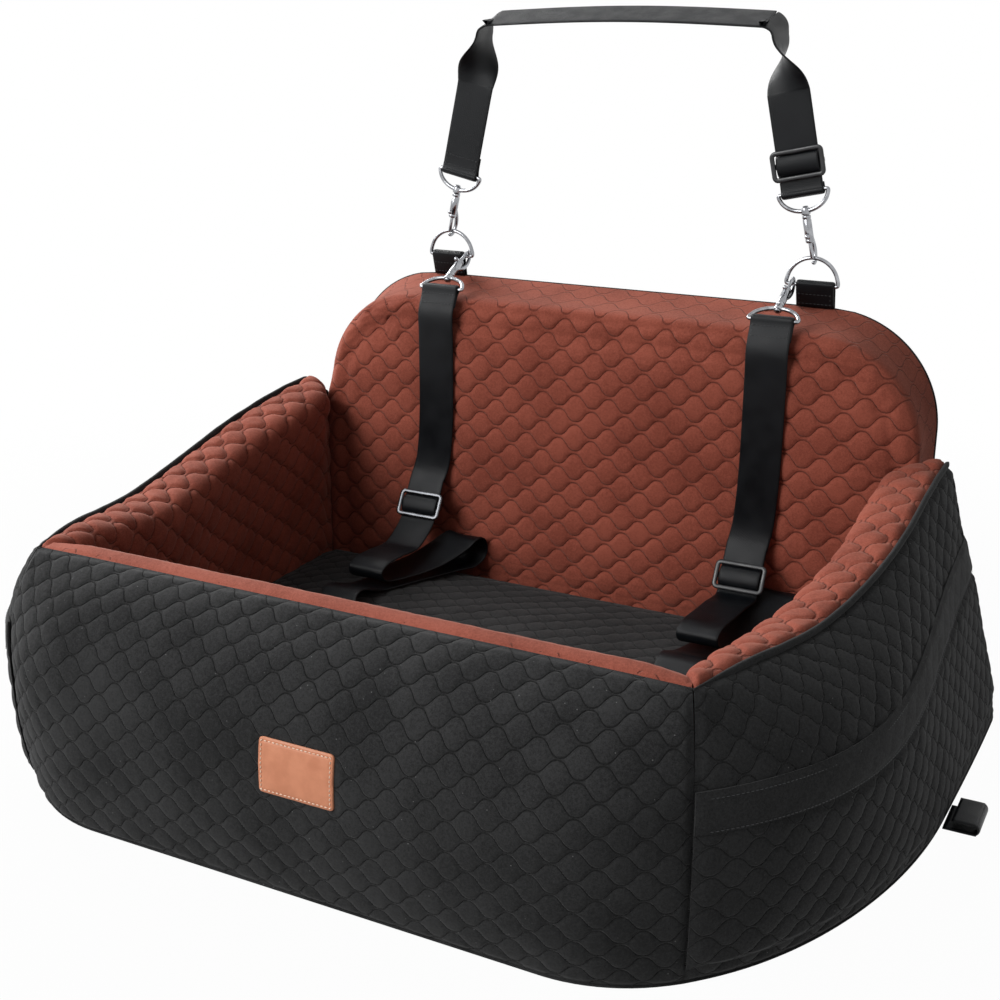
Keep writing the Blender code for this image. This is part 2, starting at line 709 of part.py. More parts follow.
def cushion_ring(inset, z):
    """Plan ring of the cushion: it follows the liners, the front wall and the backrest."""
    front_y = RIM_FRONT_Y + INNER_SET + COVER_SKIN + CUSHION_CLEAR + inset
    rear_y = BACK_FRONT_Y - CUSHION_CLEAR - inset
    set_in = INNER_SET + COVER_SKIN + CUSHION_CLEAR + inset
    radius = CUSHION_CORNER_RADIUS
    side_ys = [front_y + radius + (rear_y - front_y - 2 * radius) * k / 5 for k in range(6)]
    half = []
    for turn in (90.0, 60.0, 30.0):
        cos, sin = math.cos(math.radians(turn)), math.sin(math.radians(turn))
        x = rim_side_x(side_ys[0]) - set_in - radius + radius * cos
        half.append((x, side_ys[0] - radius * sin))
    half += [(rim_side_x(y) - set_in, y) for y in side_ys]
    for turn in (30.0, 60.0, 90.0):
        cos, sin = math.cos(math.radians(turn)), math.sin(math.radians(turn))
        x = rim_side_x(side_ys[-1]) - set_in - radius + radius * cos
        half.append((x, side_ys[-1] + radius * sin))
    middles = [(0.0, front_y), (0.0, rear_y)]
    ring = [middles[0]] + half + [middles[1]] + [(-x, y) for x, y in reversed(half)]
    return [Vector((x, y, z)) for x, y in ring]


def build_cushion():
    """Loose floor cushion: drawn-in foot, full waist, rolled shoulder and flat crown."""
    foot = CORE_FOOT + GAP
    mid = (foot + CUSHION_TOP - CUSHION_ROLL) / 2
    rings = [
        cushion_ring(CUSHION_WAIST * 2, foot),
        cushion_ring(CUSHION_WAIST / 2, foot + CUSHION_WAIST),
        cushion_ring(0.0, mid),
        cushion_ring(CUSHION_WAIST / 2, CUSHION_TOP - CUSHION_ROLL - CUSHION_WAIST),
        cushion_ring(CUSHION_WAIST * 2, CUSHION_TOP - CUSHION_ROLL),
        cushion_ring(CUSHION_ROLL_RUN * 0.5, CUSHION_TOP - CUSHION_ROLL * 0.25),
        cushion_ring(CUSHION_ROLL_RUN, CUSHION_TOP),
    ]
    place_mesh("seat_cushion", loft("seat_cushion", rings, smooth_angle_deg=60.0), "black_quilt")


# D-rings, tabs and base loops


def d_outline(half_width, rise, steps):
    """Closed D in the XZ plane, its straight bar at z = 0 and its bow upwards."""
    points = [Vector((-half_width * share, 0.0, 0.0)) for share in (0.9, 0.0, -0.9)]
    for k in range(steps + 1):
        turn = math.pi * k / steps
        lift = max(math.sin(turn), 0.06)
        points.append(Vector((half_width * math.cos(turn), 0.0, rise * lift)))
    return points


def build_rings():
    """Both D-rings, each on a pivot along its bar."""
    shape = tube("d_ring", d_outline(RING_HALF_WIDTH, RING_RISE, RING_STEPS), RING_WIRE,
                 closed=True)
    for side, suffix in ((-1, "left"), (1, "right")):
        place = Vector((side * RING_X, RING_Y, RING_Z))
        pivot = make_pivot("ring_axis_" + suffix, place)
        place_mesh("ring_" + suffix, shape, "chrome", Matrix.Translation(place), pivot)


def build_tab(side, suffix):
    """Webbing tab: one strip from the back seam round the ring's bar and down again."""
    x = side * (RING_X + TAB_SHIFT)
    bar = Vector((x, RING_Y, RING_Z))
    radius = RING_WIRE / 2 + GAP + WEBBING_THICKNESS / 2
    foot_z = BACK_HEIGHT + GAP
    front = Vector((x, TAB_FOOT_Y - TAB_FOOT_DEPTH / 2, foot_z))
    rear = Vector((x, TAB_FOOT_Y + TAB_FOOT_DEPTH / 2, foot_z))
    across = Vector((1.0, 0.0, 0.0))
    points = [front]
    for turn in (180.0, 150.0, 120.0, 90.0, 60.0, 30.0, 0.0):
        angle = math.radians(turn)
        points.append(bar + Vector((0.0, math.cos(angle), math.sin(angle))) * radius)
    points.append(rear)
    mesh = ribbon("tab_" + suffix, [(p, across) for p in points], TAB_WIDTH)
    place_mesh("tab_" + suffix, mesh, "webbing")


def build_base_loop(side, suffix):
    """Webbing loop that stands out from under the side cover."""
    cuts = [side_station(BASE_LOOP_Y + end * WEBBING_WIDTH / 2) for end in (-1, 1)]
    foot = max(cut.rim.x + cut.outward(CORE_FOOT) for cut in cuts) + COVER_SKIN + GAP
    low = WEBBING_THICKNESS / 2
    tip = foot + BASE_LOOP_REACH
    middle = low + BASE_LOOP_BEND
    top = low + 2 * BASE_LOOP_BEND
    points = [(foot, low), (tip - BASE_LOOP_BEND, low)]
    for turn in (-60.0, -30.0, 0.0, 30.0, 60.0, 90.0):
        angle = math.radians(turn)
        points.append((tip - BASE_LOOP_BEND + BASE_LOOP_BEND * math.cos(angle),
                       middle + BASE_LOOP_BEND * math.sin(angle)))
    points.append((foot + BASE_LOOP_FOOT, top))
    across = Vector((0.0, 1.0, 0.0))
    stations = [(Vector((side * x, BASE_LOOP_Y, z)), across) for x, z in points]
    name = "base_loop_" + suffix
    place_mesh(name, ribbon(name, stations), "webbing")


# Bolt snap, in its own frame: the ring's wire lies through the hook at the origin's
# height, the swivel axis is Z and runs up to the eye, and the hook opens in the YZ plane


def add_cylinder(bm, radius, foot, head, sides=SNAP_SIDES):
    """Add an upright cylinder between two heights."""
    turn = Matrix.Translation((0.0, 0.0, (foot + head) / 2))
    bmesh.ops.create_cone(bm, cap_ends=True, segments=sides, radius1=radius, radius2=radius,
                          depth=head - foot, matrix=turn)


def cylinder_mesh(name, radius, foot, head, sides=SNAP_SIDES):
    """Return an upright cylinder as a mesh."""
    bm = bmesh.new()
    add_cylinder(bm, radius, foot, head, sides)
    return mesh_from_bmesh(name, bm)


def combine(name, base, parts, operation):
    """Apply a row of exact Booleans to a mesh and return the result."""
    obj = bpy.data.objects.new(name, base)
    bpy.context.collection.objects.link(obj)
    helpers = []
    for part in parts:
        helper = bpy.data.objects.new(name + "_tool", part)
        bpy.context.collection.objects.link(helper)
        modifier = obj.modifiers.new("cut", "BOOLEAN")
        modifier.operation = operation
        modifier.solver = "EXACT"
        modifier.object = helper
        helpers.append(helper)
    graph = bpy.context.evaluated_depsgraph_get()
    result = bpy.data.meshes.new_from_object(obj.evaluated_get(graph), depsgraph=graph)
    result.name = name
    for item in [obj] + helpers:
        bpy.data.objects.remove(item)
    result.shade_smooth()
    result.set_sharp_from_angle(angle=math.radians(40.0))
    return result


def snap_eye_mesh():
    """D-shaped swivel eye with its bored collar."""
    bow = [Vector((p.x, 0.0, SNAP_LENGTH - p.z))
           for p in d_outline(EYE_HALF_WIDTH, EYE_RISE, EYE_STEPS)]
    wire = tube("eye_wire", bow, EYE_WIRE, closed=True)
    collar = cylinder_mesh("collar", COLLAR_RADIUS, COLLAR_FOOT, COLLAR_FOOT + COLLAR_HEIGHT)
    bore = cylinder_mesh("bore", COLLAR_BORE, COLLAR_FOOT - GAP,
                         COLLAR_FOOT + COLLAR_HEIGHT + GAP)
    joined = combine("eye_joined", wire, [collar], "UNION")
    return combine("snap_eye", joined, [bore], "DIFFERENCE")


def hook_line():
    """Line of the hook from inside the barrel round to its tip."""
    places = zip(HOOK_DEPTH_SHARES, HOOK_HEIGHT_SHARES)
    points = [Vector((0.0, depth * HOOK_DEPTH, height * BARREL_FOOT))
              for depth, height in places]
    return smooth_path(points, 2)


def snap_hook_mesh():
    """Barrel with its bore and knob slot, the swivel stud with its head, and the hook."""
    bm = bmesh.new()
    barrel_top = COLLAR_FOOT - GAP
    add_cylinder(bm, BARREL_RADIUS, BARREL_FOOT, barrel_top)
    barrel = mesh_from_bmesh("barrel", bm)
    head_foot = COLLAR_FOOT + COLLAR_HEIGHT + GAP
    stud = cylinder_mesh("stud", STUD_RADIUS, barrel_top - STUD_RADIUS,
                         head_foot + STUD_HEAD_HEIGHT / 2)
    head = cylinder_mesh("head", STUD_HEAD_RADIUS, head_foot, head_foot + STUD_HEAD_HEIGHT)
    hook = tube("hook", hook_line(), SNAP_WIRE, sides=8)
    body = combine("hook_body", barrel, [stud, head, hook], "UNION")
    bore = cylinder_mesh("bore", BARREL_BORE, BARREL_FOOT - SNAP_WIRE, BORE_TOP)
    slot_half = KNOB_STEM_RADIUS + SLOT_CLEAR
    slot = slot_mesh(slot_half, KNOB_HEIGHT - slot_half,
                     KNOB_HEIGHT + PIN_TRAVEL + slot_half)
    return combine("snap_hook", body, [bore, slot], "DIFFERENCE")


def slot_mesh(half, foot, head):
    """Cutter of the knob's slot, on the side away from the hook."""
    bm = bmesh.new()
    bmesh.ops.create_cube(bm, size=1.0)
    scale = Matrix.Diagonal((2 * half, BARREL_RADIUS + GAP, head - foot, 1.0))
    place = Matrix.Translation((0.0, -(BARREL_RADIUS + GAP) / 2, (foot + head) / 2))
    bmesh.ops.transform(bm, matrix=place @ scale, verts=bm.verts)
    return mesh_from_bmesh("slot", bm)


def snap_bolt_mesh():
    """Sliding pin with its thumb knob."""
    pin_foot = HOOK_TIP_HEIGHT + SNAP_WIRE / 2 + GAP
    pin = cylinder_mesh("pin", PIN_RADIUS, pin_foot, PIN_TOP)
    turn = Matrix.Translation((0.0, 0.0, KNOB_HEIGHT)) @ Matrix.Rotation(math.pi / 2, 4, "X")
    stem = cylinder_mesh("stem", KNOB_STEM_RADIUS, 0.0, KNOB_REACH, 8)
    stem.transform(turn)
    bm = bmesh.new()
    bmesh.ops.create_icosphere(bm, subdivisions=1, radius=KNOB_RADIUS,
                               matrix=Matrix.Translation((0.0, -KNOB_REACH, KNOB_HEIGHT)))
    ball = mesh_from_bmesh("ball", bm)
    return combine("snap_bolt", pin, [stem, ball], "UNION")


def hang_snap(meshes, name, frame, eye_pivot, hook_turn=0.0):
    """Place one bolt snap: its eye on the strap's pivot, its hook on the swivel axis."""
    turned = frame @ Matrix.Rotation(hook_turn, 4, "Z")
    swivel = make_pivot(name + "_swivel", frame @ Vector((0.0, 0.0, COLLAR_FOOT)))
    swivel.parent = eye_pivot
    swivel.matrix_parent_inverse = eye_pivot.matrix_world.inverted()
    bpy.context.view_layer.update()
    place_mesh(name + "_snap_eye", meshes["eye"], "chrome", frame, eye_pivot)
    place_mesh(name + "_snap_hook", meshes["hook"], "chrome", turned, swivel)
    place_mesh(name + "_snap_bolt", meshes["bolt"], "chrome", turned, swivel)


# Tri-glide, in its own frame: the webbing runs along Z and its front faces -Y


def glide_mesh():
    """Front window frame, two cheeks past the webbing's edges, and the bar behind it."""
    half_width = WEBBING_WIDTH / 2 + GLIDE_CLEAR
    outer = half_width + GLIDE_CHEEK
    half_height = GLIDE_HEIGHT / 2
    near = WEBBING_THICKNESS / 2 + GLIDE_CLEAR
    front = -near - GLIDE_THICKNESS
    rear = near + GLIDE_THICKNESS
    plate = box_mesh((-outer, front, -half_height), (outer, rear, half_height), GLIDE_ROUND)
    over = GLIDE_CHEEK
    tunnel = box_mesh((-half_width, -near, -half_height - over),
                      (half_width, near, half_height + over))
    window = box_mesh((-half_width, front - over, -half_height + GLIDE_RAIL),
                      (half_width, 0.0, half_height - GLIDE_RAIL))
    bar_half = GLIDE_RAIL * 0.6
    behind_top = box_mesh((-half_width - over * 2, 0.0, bar_half),
                          (half_width + over * 2, rear + over, half_height + over))
    behind_foot = box_mesh((-half_width - over * 2, 0.0, -half_height - over),
                           (half_width + over * 2, rear + over, -bar_half))
    return combine("tri_glide", plate, [tunnel, window, behind_top, behind_foot], "DIFFERENCE")


def box_mesh(low, high, bevel=0.0):
    """Return a box between two corners, its edges rounded by a bevel."""
    bm = bmesh.new()
    bmesh.ops.create_cube(bm, size=1.0)
    low, high = Vector(low), Vector(high)
    size = high - low
    place = Matrix.Translation((low + high) / 2) @ Matrix.Diagonal((*size, 1.0))
    bmesh.ops.transform(bm, matrix=place, verts=bm.verts)
    if bevel:
        bmesh.ops.bevel(bm, geom=bm.edges, offset=bevel, segments=1, affect="EDGES")
    return mesh_from_bmesh("box", bm)


# Webbing straps


def hem_loop(eye, along, toward, hem):
    """Points of a strap's end: down from the hem, round the eye's bar to the near ply."""
    points = []
    if hem > LOOP_RADIUS * 2:
        points.append(eye + along * hem - toward * PLY)
        points.append(eye + along * (LOOP_RADIUS * 2.2) - toward * (PLY * 1.15))
    else:
        points.append(eye + along * hem - toward * (LOOP_RADIUS * 0.85))
    for turn in (-90.0, -130.0, -180.0, -230.0, -270.0):
        angle = math.radians(turn)
        points.append(eye + (along * math.cos(angle) + toward * math.sin(angle)) * LOOP_RADIUS)
    points.append(eye + along * (LOOP_RADIUS * 2.2) + toward * (PLY * 1.15))
    return points


def carry_frames():
    """Frames of the two hand strap snaps: on the ring tops, leaning in to the strap."""
    frames = {}
    drop = CARRY_TOP - RING_TOP_Z
    lean = math.atan2(RING_X - CARRY_TOP_HALF, drop)
    for side, suffix in ((-1, "left"), (1, "right")):
        seat = Vector((side * RING_X, RING_Y - SNAP_RING_OFFSET, RING_TOP_Z))
        frames[suffix] = Matrix.Translation(seat) @ Matrix.Rotation(-side * lean, 4, "Y")
    return frames


def carry_half(frame, hem):
    """Stations of half the hand strap, from its eye to the middle of its top."""
    eye = frame @ Vector((0.0, 0.0, SNAP_LENGTH))
    axes = frame.to_3x3()
    along = axes @ Vector((0.0, 0.0, 1.0))
    across = axes @ Vector((1.0, 0.0, 0.0))
    depth = Vector((0.0, -1.0, 0.0))
    stations = [(p, across) for p in hem_loop(eye, along, depth, hem)]
    inward = -math.copysign(1.0, eye.x)
    level = Vector((inward, 0.0, 0.0))
    turn = math.acos(along.dot(level))
    setback = CARRY_CORNER_RADIUS * math.tan(turn / 2)
    corner = eye + along * ((CARRY_TOP - CARRY_CROWN - eye.z) / along.z) + depth * PLY
    bend_start = corner - along * setback
    twist_end = bend_start - along * CARRY_TWIST_LEAD
    twist_start = twist_end - along * CARRY_TWIST_RUN
    stations.append((eye + along * (CARRY_HEM + GLIDE_HEIGHT) + depth * PLY, across))
    for k in range(TWIST_STEPS + 1):
        share = k / TWIST_STEPS
        angle = math.pi / 2 * ease(share)
        width_way = across * math.cos(angle) * -inward + depth * math.sin(angle)
        stations.append((twist_start.lerp(twist_end, share), width_way))
    centre = bend_start + (level - along * along.dot(level)).normalized() * CARRY_CORNER_RADIUS
    spoke = bend_start - centre
    for k in range(CORNER_STEPS + 1):
        angle = turn * k / CORNER_STEPS
        stations.append((centre + spoke * math.cos(angle)
                         + along * math.sin(angle) * CARRY_CORNER_RADIUS, depth))
    bend_end = stations[-1][0]
    for k in range(1, CROWN_STEPS + 1):
        share = k / CROWN_STEPS
        x = bend_end.x * (1 - share)
        rise = CARRY_CROWN * math.sin(math.pi / 2 * share)
        stations.append((Vector((x, bend_end.y, bend_end.z + rise)), depth))
    return stations


def build_hand_strap(meshes):
    """Hand strap with its two snaps and its tri-glide, on a pivot at the ring tops."""
    frames = carry_frames()
    pivot = make_pivot("carry_axis", (-RING_X, RING_Y, RING_TOP_Z))
    left = carry_half(frames["left"], CARRY_HEM)
    right = carry_half(frames["right"], CARRY_TAIL)
    stations = left + right[-2::-1]
    steady = [stations[0]]
    for point, across in stations[1:]:
        if across.dot(steady[-1][1]) < 0:
            across = -across
        steady.append((point, across))
    place_mesh("carry_strap", ribbon("carry_strap", steady), "webbing", pivot=pivot)
    for suffix, frame in frames.items():
        hang_snap(meshes, "carry_" + suffix, frame, pivot)
    lift = Matrix.Translation((0.0, -PLY, SNAP_LENGTH + CARRY_GLIDE_LIFT))
    place_mesh("carry_slider", meshes["glide"], "black_plastic", frames["right"] @ lift, pivot)


def tether_frame(side):
    """Frame of an upper tether snap: hooked on the ring's bar beside the tab."""
    tilt = math.radians(TETHER_TILT_DEG)
    turn = Matrix.Rotation(math.pi / 2 + tilt, 4, "X") @ Matrix.Rotation(math.pi, 4, "Z")
    seat = Vector((side * TETHER_X, RING_Y, RING_Z))
    return Matrix.Translation(seat) @ turn @ Matrix.Translation((0.0, -SNAP_RING_OFFSET, 0.0))


def tether_places(side, eye):
    """Hand-set places of the tether from its upper eye on, and the place of its slider."""
    drift = TETHER_DRIFT_LEFT if side < 0 else TETHER_DRIFT_RIGHT
    lift = TETHER_GLIDE_LIFT_LEFT if side < 0 else TETHER_GLIDE_LIFT_RIGHT
    lean = math.radians(TETHER_GLIDE_LEAN_DEG)
    run = Vector((0.0, math.cos(lean), math.sin(lean)))
    glide = Vector((eye.x + drift * TETHER_GLIDE_DRIFT_SHARE,
                    BACK_FRONT_Y - TETHER_REACH * TETHER_GLIDE_FORWARD_SHARE, LAY_Z + lift))
    above = glide + run * TETHER_GLIDE_RUN_ABOVE
    rows = zip(TETHER_DROP_FORWARD_SHARES, TETHER_DROP_HEIGHT_SHARES, TETHER_DROP_DRIFT_SHARES)
    places = [Vector((eye.x + drift * aside, BACK_FRONT_Y - TETHER_REACH * forward,
                      above.z + (eye.z - above.z) * height)) for forward, height, aside in rows]
    places += [above, glide, glide - run * TETHER_GLIDE_RUN_BELOW]
    rows = zip(TETHER_FOLD_FORWARD_SHARES, TETHER_FOLD_HEIGHT_SHARES, TETHER_FOLD_DRIFT_SHARES)
    places += [Vector((eye.x + drift * aside, BACK_FRONT_Y - TETHER_REACH * forward,
                       LAY_Z + TETHER_FOLD_HEIGHT * height)) for forward, height, aside in rows]
    return places, glide


def build_tether(side, suffix, meshes):
    """One tether: upper snap, webbing over the edge and in folds, tri-glide, lower snap."""
    frame = tether_frame(side)
    pivot = make_pivot("tether_axis_" + suffix, (side * TETHER_X, RING_Y, RING_Z))
    eye = frame @ Vector((0.0, 0.0, SNAP_LENGTH))
    drift = TETHER_DRIFT_LEFT if side < 0 else TETHER_DRIFT_RIGHT
    leash_eye = Vector((side * TETHER_X - drift, BACK_FRONT_Y - TETHER_REACH,
                        CUSHION_TOP + LEASH_AXIS_LIFT))
    places, glide_place = tether_places(side, eye)
    along = (places[0] - eye).normalized()
    toward = Vector((0.0, along.z, -along.y)).normalized()
    head = hem_loop(eye, along, toward, TETHER_HEM)
    back = Vector((0.0, 1.0, 0.0))
    foot = hem_loop(leash_eye, back, Vector((0.0, 0.0, -1.0)), LEASH_HEM)
    path = head + smooth_path(places, PATH_STEPS) + foot[::-1]
    across = Vector((1.0, 0.0, 0.0))
    name = "tether_strap_" + suffix
    place_mesh(name, ribbon(name, [(p, across) for p in path]), "webbing", pivot=pivot)
    hang_snap(meshes, "tether_" + suffix, frame, pivot)
    down = Matrix.Rotation(-math.pi / 2, 4, "X")
    lower = Matrix.Translation(leash_eye) @ down @ Matrix.Translation((0.0, 0.0, -SNAP_LENGTH))
    hang_snap(meshes, "leash_" + suffix, lower, pivot, math.pi / 2)
    tilt = math.pi / 2 - math.radians(TETHER_GLIDE_LEAN_DEG)
    glide = Matrix.Translation(glide_place) @ Matrix.Rotation(-tilt, 4, "X")
    finish = "chrome" if side < 0 else "black_plastic"
    place_mesh("tether_slider_" + suffix, meshes["glide"], finish, glide, pivot)


def build_part():
    """Build the whole seat."""
    for obj in list(bpy.data.objects):
        bpy.data.objects.remove(obj)
    build_front_wall()
    build_base()
    build_backrest()
    build_cushion()
    build_label()
    build_rings()
    meshes = {"eye": snap_eye_mesh(), "hook": snap_hook_mesh(), "bolt": snap_bolt_mesh(),
              "glide": glide_mesh()}
    build_hand_strap(meshes)
    for side, suffix in ((-1, "left"), (1, "right")):
        build_side_wall(side, suffix)
        build_tab(side, suffix)
        build_base_loop(side, suffix)
        build_tether(side, suffix, meshes)
    bpy.context.view_layer.update()


build_part()
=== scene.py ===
"""Dog car seat: quilted tub, tall backrest, loose cushion, straps and swivel snaps.

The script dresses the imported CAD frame. All places are in metres in the frame's own axes:
+X to the right seen from the front, +Y to the back, +Z up, the origin under the seat.
"""

from __future__ import annotations

import json
import logging
import math
from dataclasses import dataclass, field, replace
from enum import Enum
from typing import Callable, Iterable, Sequence

import bmesh
import bpy
import numpy as np
from mathutils import Matrix, Vector
from mathutils.bvhtree import BVHTree

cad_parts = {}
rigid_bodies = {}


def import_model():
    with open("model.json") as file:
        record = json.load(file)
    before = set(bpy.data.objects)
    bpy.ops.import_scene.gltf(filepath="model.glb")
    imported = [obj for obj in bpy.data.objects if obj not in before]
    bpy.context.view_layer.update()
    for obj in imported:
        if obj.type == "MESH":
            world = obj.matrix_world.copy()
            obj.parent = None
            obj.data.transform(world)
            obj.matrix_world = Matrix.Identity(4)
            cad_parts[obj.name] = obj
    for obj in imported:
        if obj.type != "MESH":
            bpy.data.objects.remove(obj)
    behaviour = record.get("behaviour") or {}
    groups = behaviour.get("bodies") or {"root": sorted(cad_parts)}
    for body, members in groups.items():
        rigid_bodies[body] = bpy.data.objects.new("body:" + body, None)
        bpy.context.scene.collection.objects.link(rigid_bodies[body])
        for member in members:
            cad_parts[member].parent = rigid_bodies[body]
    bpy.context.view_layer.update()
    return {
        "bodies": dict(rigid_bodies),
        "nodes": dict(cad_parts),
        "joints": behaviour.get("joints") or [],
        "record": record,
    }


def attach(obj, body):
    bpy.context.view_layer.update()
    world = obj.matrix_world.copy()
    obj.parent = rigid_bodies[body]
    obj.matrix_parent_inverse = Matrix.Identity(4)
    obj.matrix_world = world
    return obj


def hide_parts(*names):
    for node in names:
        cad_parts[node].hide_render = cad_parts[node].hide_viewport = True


LOG = logging.getLogger("dog_car_seat")
CLOTH_UV = "cloth"
Array = np.ndarray
Colour = tuple[float, float, float]
X_AXIS, Y_AXIS, Z_AXIS = np.eye(3)
FORWARD = np.array([0.0, -1.0, 0.0])


class Side(Enum):
    """Which side of the seat a piece is on."""

    LEFT = -1
    RIGHT = 1

    @property
    def word(self) -> str:
        """The side's name in node names."""
        return self.name.lower()

    @property
    def mirror(self) -> Array:
        """What turns the right side's places into this side's."""
        return np.array([self.value, 1.0, 1.0])


class Finish(Enum):
    """A finish, and the record's material slot that it stands for."""

    BLACK_QUILT = ("black_quilt", "black_quilt")
    BLACK_CLOTH = ("black_cloth", "black_quilt")
    RUST_QUILT = ("rust_quilt", "rust_quilt")
    RUST_CLOTH = ("rust_cloth", "rust_quilt")
    WEBBING = ("strap_webbing", "webbing")
    METAL = ("plated_metal", "chrome")
    DULL_METAL = ("dull_metal", "chrome")
    PLASTIC = ("moulded_plastic", "black_plastic")
    LEATHER = ("patch_leather", "leather")
    BLACK_THREAD = ("black_thread", "webbing")
    PALE_THREAD = ("pale_thread", "leather")


# Lines and numbers


def ease(share: Array | float) -> Array | float:
    """Rise smoothly from 0 to 1.

    Args:
        share: Position between the two ends, clipped to 0 and 1.

    Returns:
        The eased share.
    """
    share = np.clip(share, 0.0, 1.0)
    return share * share * (3.0 - 2.0 * share)


def ping_pong(value: Array, half: float) -> Array:
    """Distance to the nearest multiple of twice a length."""
    return half - np.abs(np.mod(value, 2.0 * half) - half)


def unit(vectors: Array) -> Array:
    """Scale vectors, one per last axis, to length 1."""
    return vectors / np.maximum(np.linalg.norm(vectors, axis=-1, keepdims=True), 1e-12)


def lengths_along(points: Array) -> Array:
    """Distance of each point from the first, along the line."""
    steps = np.linalg.norm(np.diff(points[:, :3], axis=0), axis=1)
    return np.concatenate([[0.0], np.cumsum(steps)])


def resample(points: Array, count: int) -> Array:
    """Spread points evenly along a line.

    Args:
        points: The line's points, one per row.
        count: How many points to return.

    Returns:
        Points at equal steps along the line.
    """
    along = lengths_along(points)
    wanted = np.linspace(0.0, along[-1], count)
    return np.stack([np.interp(wanted, along, column) for column in points.T], axis=1)


def rounded(points: Array, passes: int = 3) -> Array:
    """Round a line's corners by cutting them, keeping its two ends.

    Args:
        points: The line's points, one per row.
        passes: How many times the corners are cut.

    Returns:
        A finer line.
    """
    for _ in range(passes):
        before, after = points[:-1], points[1:]
        cut = np.empty((2 * len(before), points.shape[1]))
        cut[0::2] = before * 0.75 + after * 0.25
        cut[1::2] = before * 0.25 + after * 0.75
        points = np.vstack([points[:1], cut, points[-1:]])
    return points


def threaded(points: Array, steps: int, closed: bool = False) -> Array:
    """Thread a smooth curve through points.

    Args:
        points: The places, one per row, with any number of columns.
        steps: Pieces between two places.
        closed: Whether the curve returns to its start.

    Returns:
        The finer line, without a repeated last point where it is closed.
    """
    if closed:
        ring = np.vstack([points[-1:], points, points[:2]])
    else:
        ring = np.vstack([points[:1], points, points[-1:]])
    t = np.linspace(0.0, 1.0, steps, endpoint=False)[:, None]
    runs = []
    for a, b, c, d in zip(ring, ring[1:], ring[2:], ring[3:]):
        runs.append(0.5 * (2 * b + (c - a) * t + (2 * a - 5 * b + 4 * c - d) * t**2
                           + (3 * b - a - 3 * c + d) * t**3))
    if not closed:
        runs.append(points[-1:])
    return np.vstack(runs)


def soft_noise(points: Array, size: float, seed: float) -> Array:
    """Smooth bumps that vary over a length, the same on every run.

    Args:
        points: Places, one per row.
        size: Length over which the bumps vary.
        seed: Moves the pattern.

    Returns:
        Values from about -1 to 1, one per place.
    """
    total = np.zeros(len(points))
    rng = np.random.default_rng(int(seed * 1000) + 17)
    for octave in range(3):
        for _ in range(5):
            direction = unit(rng.normal(size=3))
            phase = rng.uniform(0.0, math.tau)
            rate = math.tau / (size / (1.6**octave)) * rng.uniform(0.7, 1.3)
            total += np.sin(points @ direction * rate + phase) / (1.7**octave)
    return total / 5.5


def grid_normals(points: Array) -> Array:
    """Unit normals of a grid of points.

    Args:
        points: Grid of shape (rows, columns, 3).

    Returns:
        Normals of the same shape, along the rows' step crossed with the columns' step.
    """
    return unit(np.cross(np.gradient(points, axis=0), np.gradient(points, axis=1)))


def finer_grid(grid: Array, rows: int, columns: int) -> Array:
    """Spread a coarse grid of vectors over a fine one.

    Args:
        grid: Shape (coarse rows, coarse columns, 3).
        rows: Fine rows.
        columns: Fine columns.

    Returns:
        Shape (rows, columns, 3), smoothed over the coarse steps.
    """
    for axis, count in ((0, rows), (1, columns)):
        place = np.linspace(0.0, grid.shape[axis] - 1.0, count)
        low = np.minimum(place.astype(int), grid.shape[axis] - 2)
        share = ease(place - low)
        shape = [1, 1, 1]
        shape[axis] = count
        share = share.reshape(shape)
        grid = np.take(grid, low, axis) * (1.0 - share) + np.take(grid, low + 1, axis) * share
    return grid


# Meshes


def linked(name: str, mesh: bpy.types.Mesh) -> bpy.types.Object:
    """Link a new object at the origin.

    Args:
        name: Piece name.
        mesh: Its mesh.

    Returns:
        The object.
    """
    obj = bpy.data.objects.new(name, mesh)
    bpy.context.scene.collection.objects.link(obj)
    return obj


def mesh_object(
    name: str,
    points: Array,
    faces: Sequence[Sequence[int]],
    uv: Array | None = None,
    smooth: bool = True,
) -> bpy.types.Object:
    """Link a mesh object at the origin.

    Args:
        name: Piece name.
        points: Vertices, one per row.
        faces: Lists of vertex numbers.
        uv: One pair per vertex, or None.
        smooth: Whether the faces are shaded smooth.

    Returns:
        The new object.
    """
    mesh = bpy.data.meshes.new(name)
    mesh.from_pydata([tuple(p) for p in points.tolist()], [], [list(f) for f in faces])
    if uv is not None:
        layer = mesh.uv_layers.new(name=CLOTH_UV)
        corners = np.empty(len(mesh.loops), np.int32)
        mesh.loops.foreach_get("vertex_index", corners)
        layer.data.foreach_set("uv", uv[corners].astype(np.float32).ravel())
    if smooth:
        mesh.shade_smooth()
    return linked(name, mesh)


def face_outward(obj: bpy.types.Object) -> None:
    """Turn a closed mesh's faces outward if they point in.

    Args:
        obj: The piece, a closed mesh.
    """
    bm = bmesh.new()
    bm.from_mesh(obj.data)
    if bm.calc_volume(signed=True) < 0.0:
        bmesh.ops.reverse_faces(bm, faces=bm.faces)
        bm.to_mesh(obj.data)
    bm.free()


def loft_faces(sections: int, count: int, ring: bool = False) -> list[list[int]]:
    """Faces between rows of closed section loops.

    Args:
        sections: How many loops.
        count: Points in each.
        ring: Whether the last loop joins the first; otherwise both ends are capped.

    Returns:
        Lists of vertex numbers.
    """
    index = np.arange(sections * count).reshape(sections, count)
    following = np.roll(index, -1, axis=1)
    ahead, ahead_next = np.roll(index, -1, axis=0), np.roll(following, -1, axis=0)
    quads = np.stack([index, following, ahead_next, ahead], axis=-1)
    if ring:
        return quads.reshape(-1, 4).tolist()
    return quads[:-1].reshape(-1, 4).tolist() + [index[0][::-1].tolist(), index[-1].tolist()]


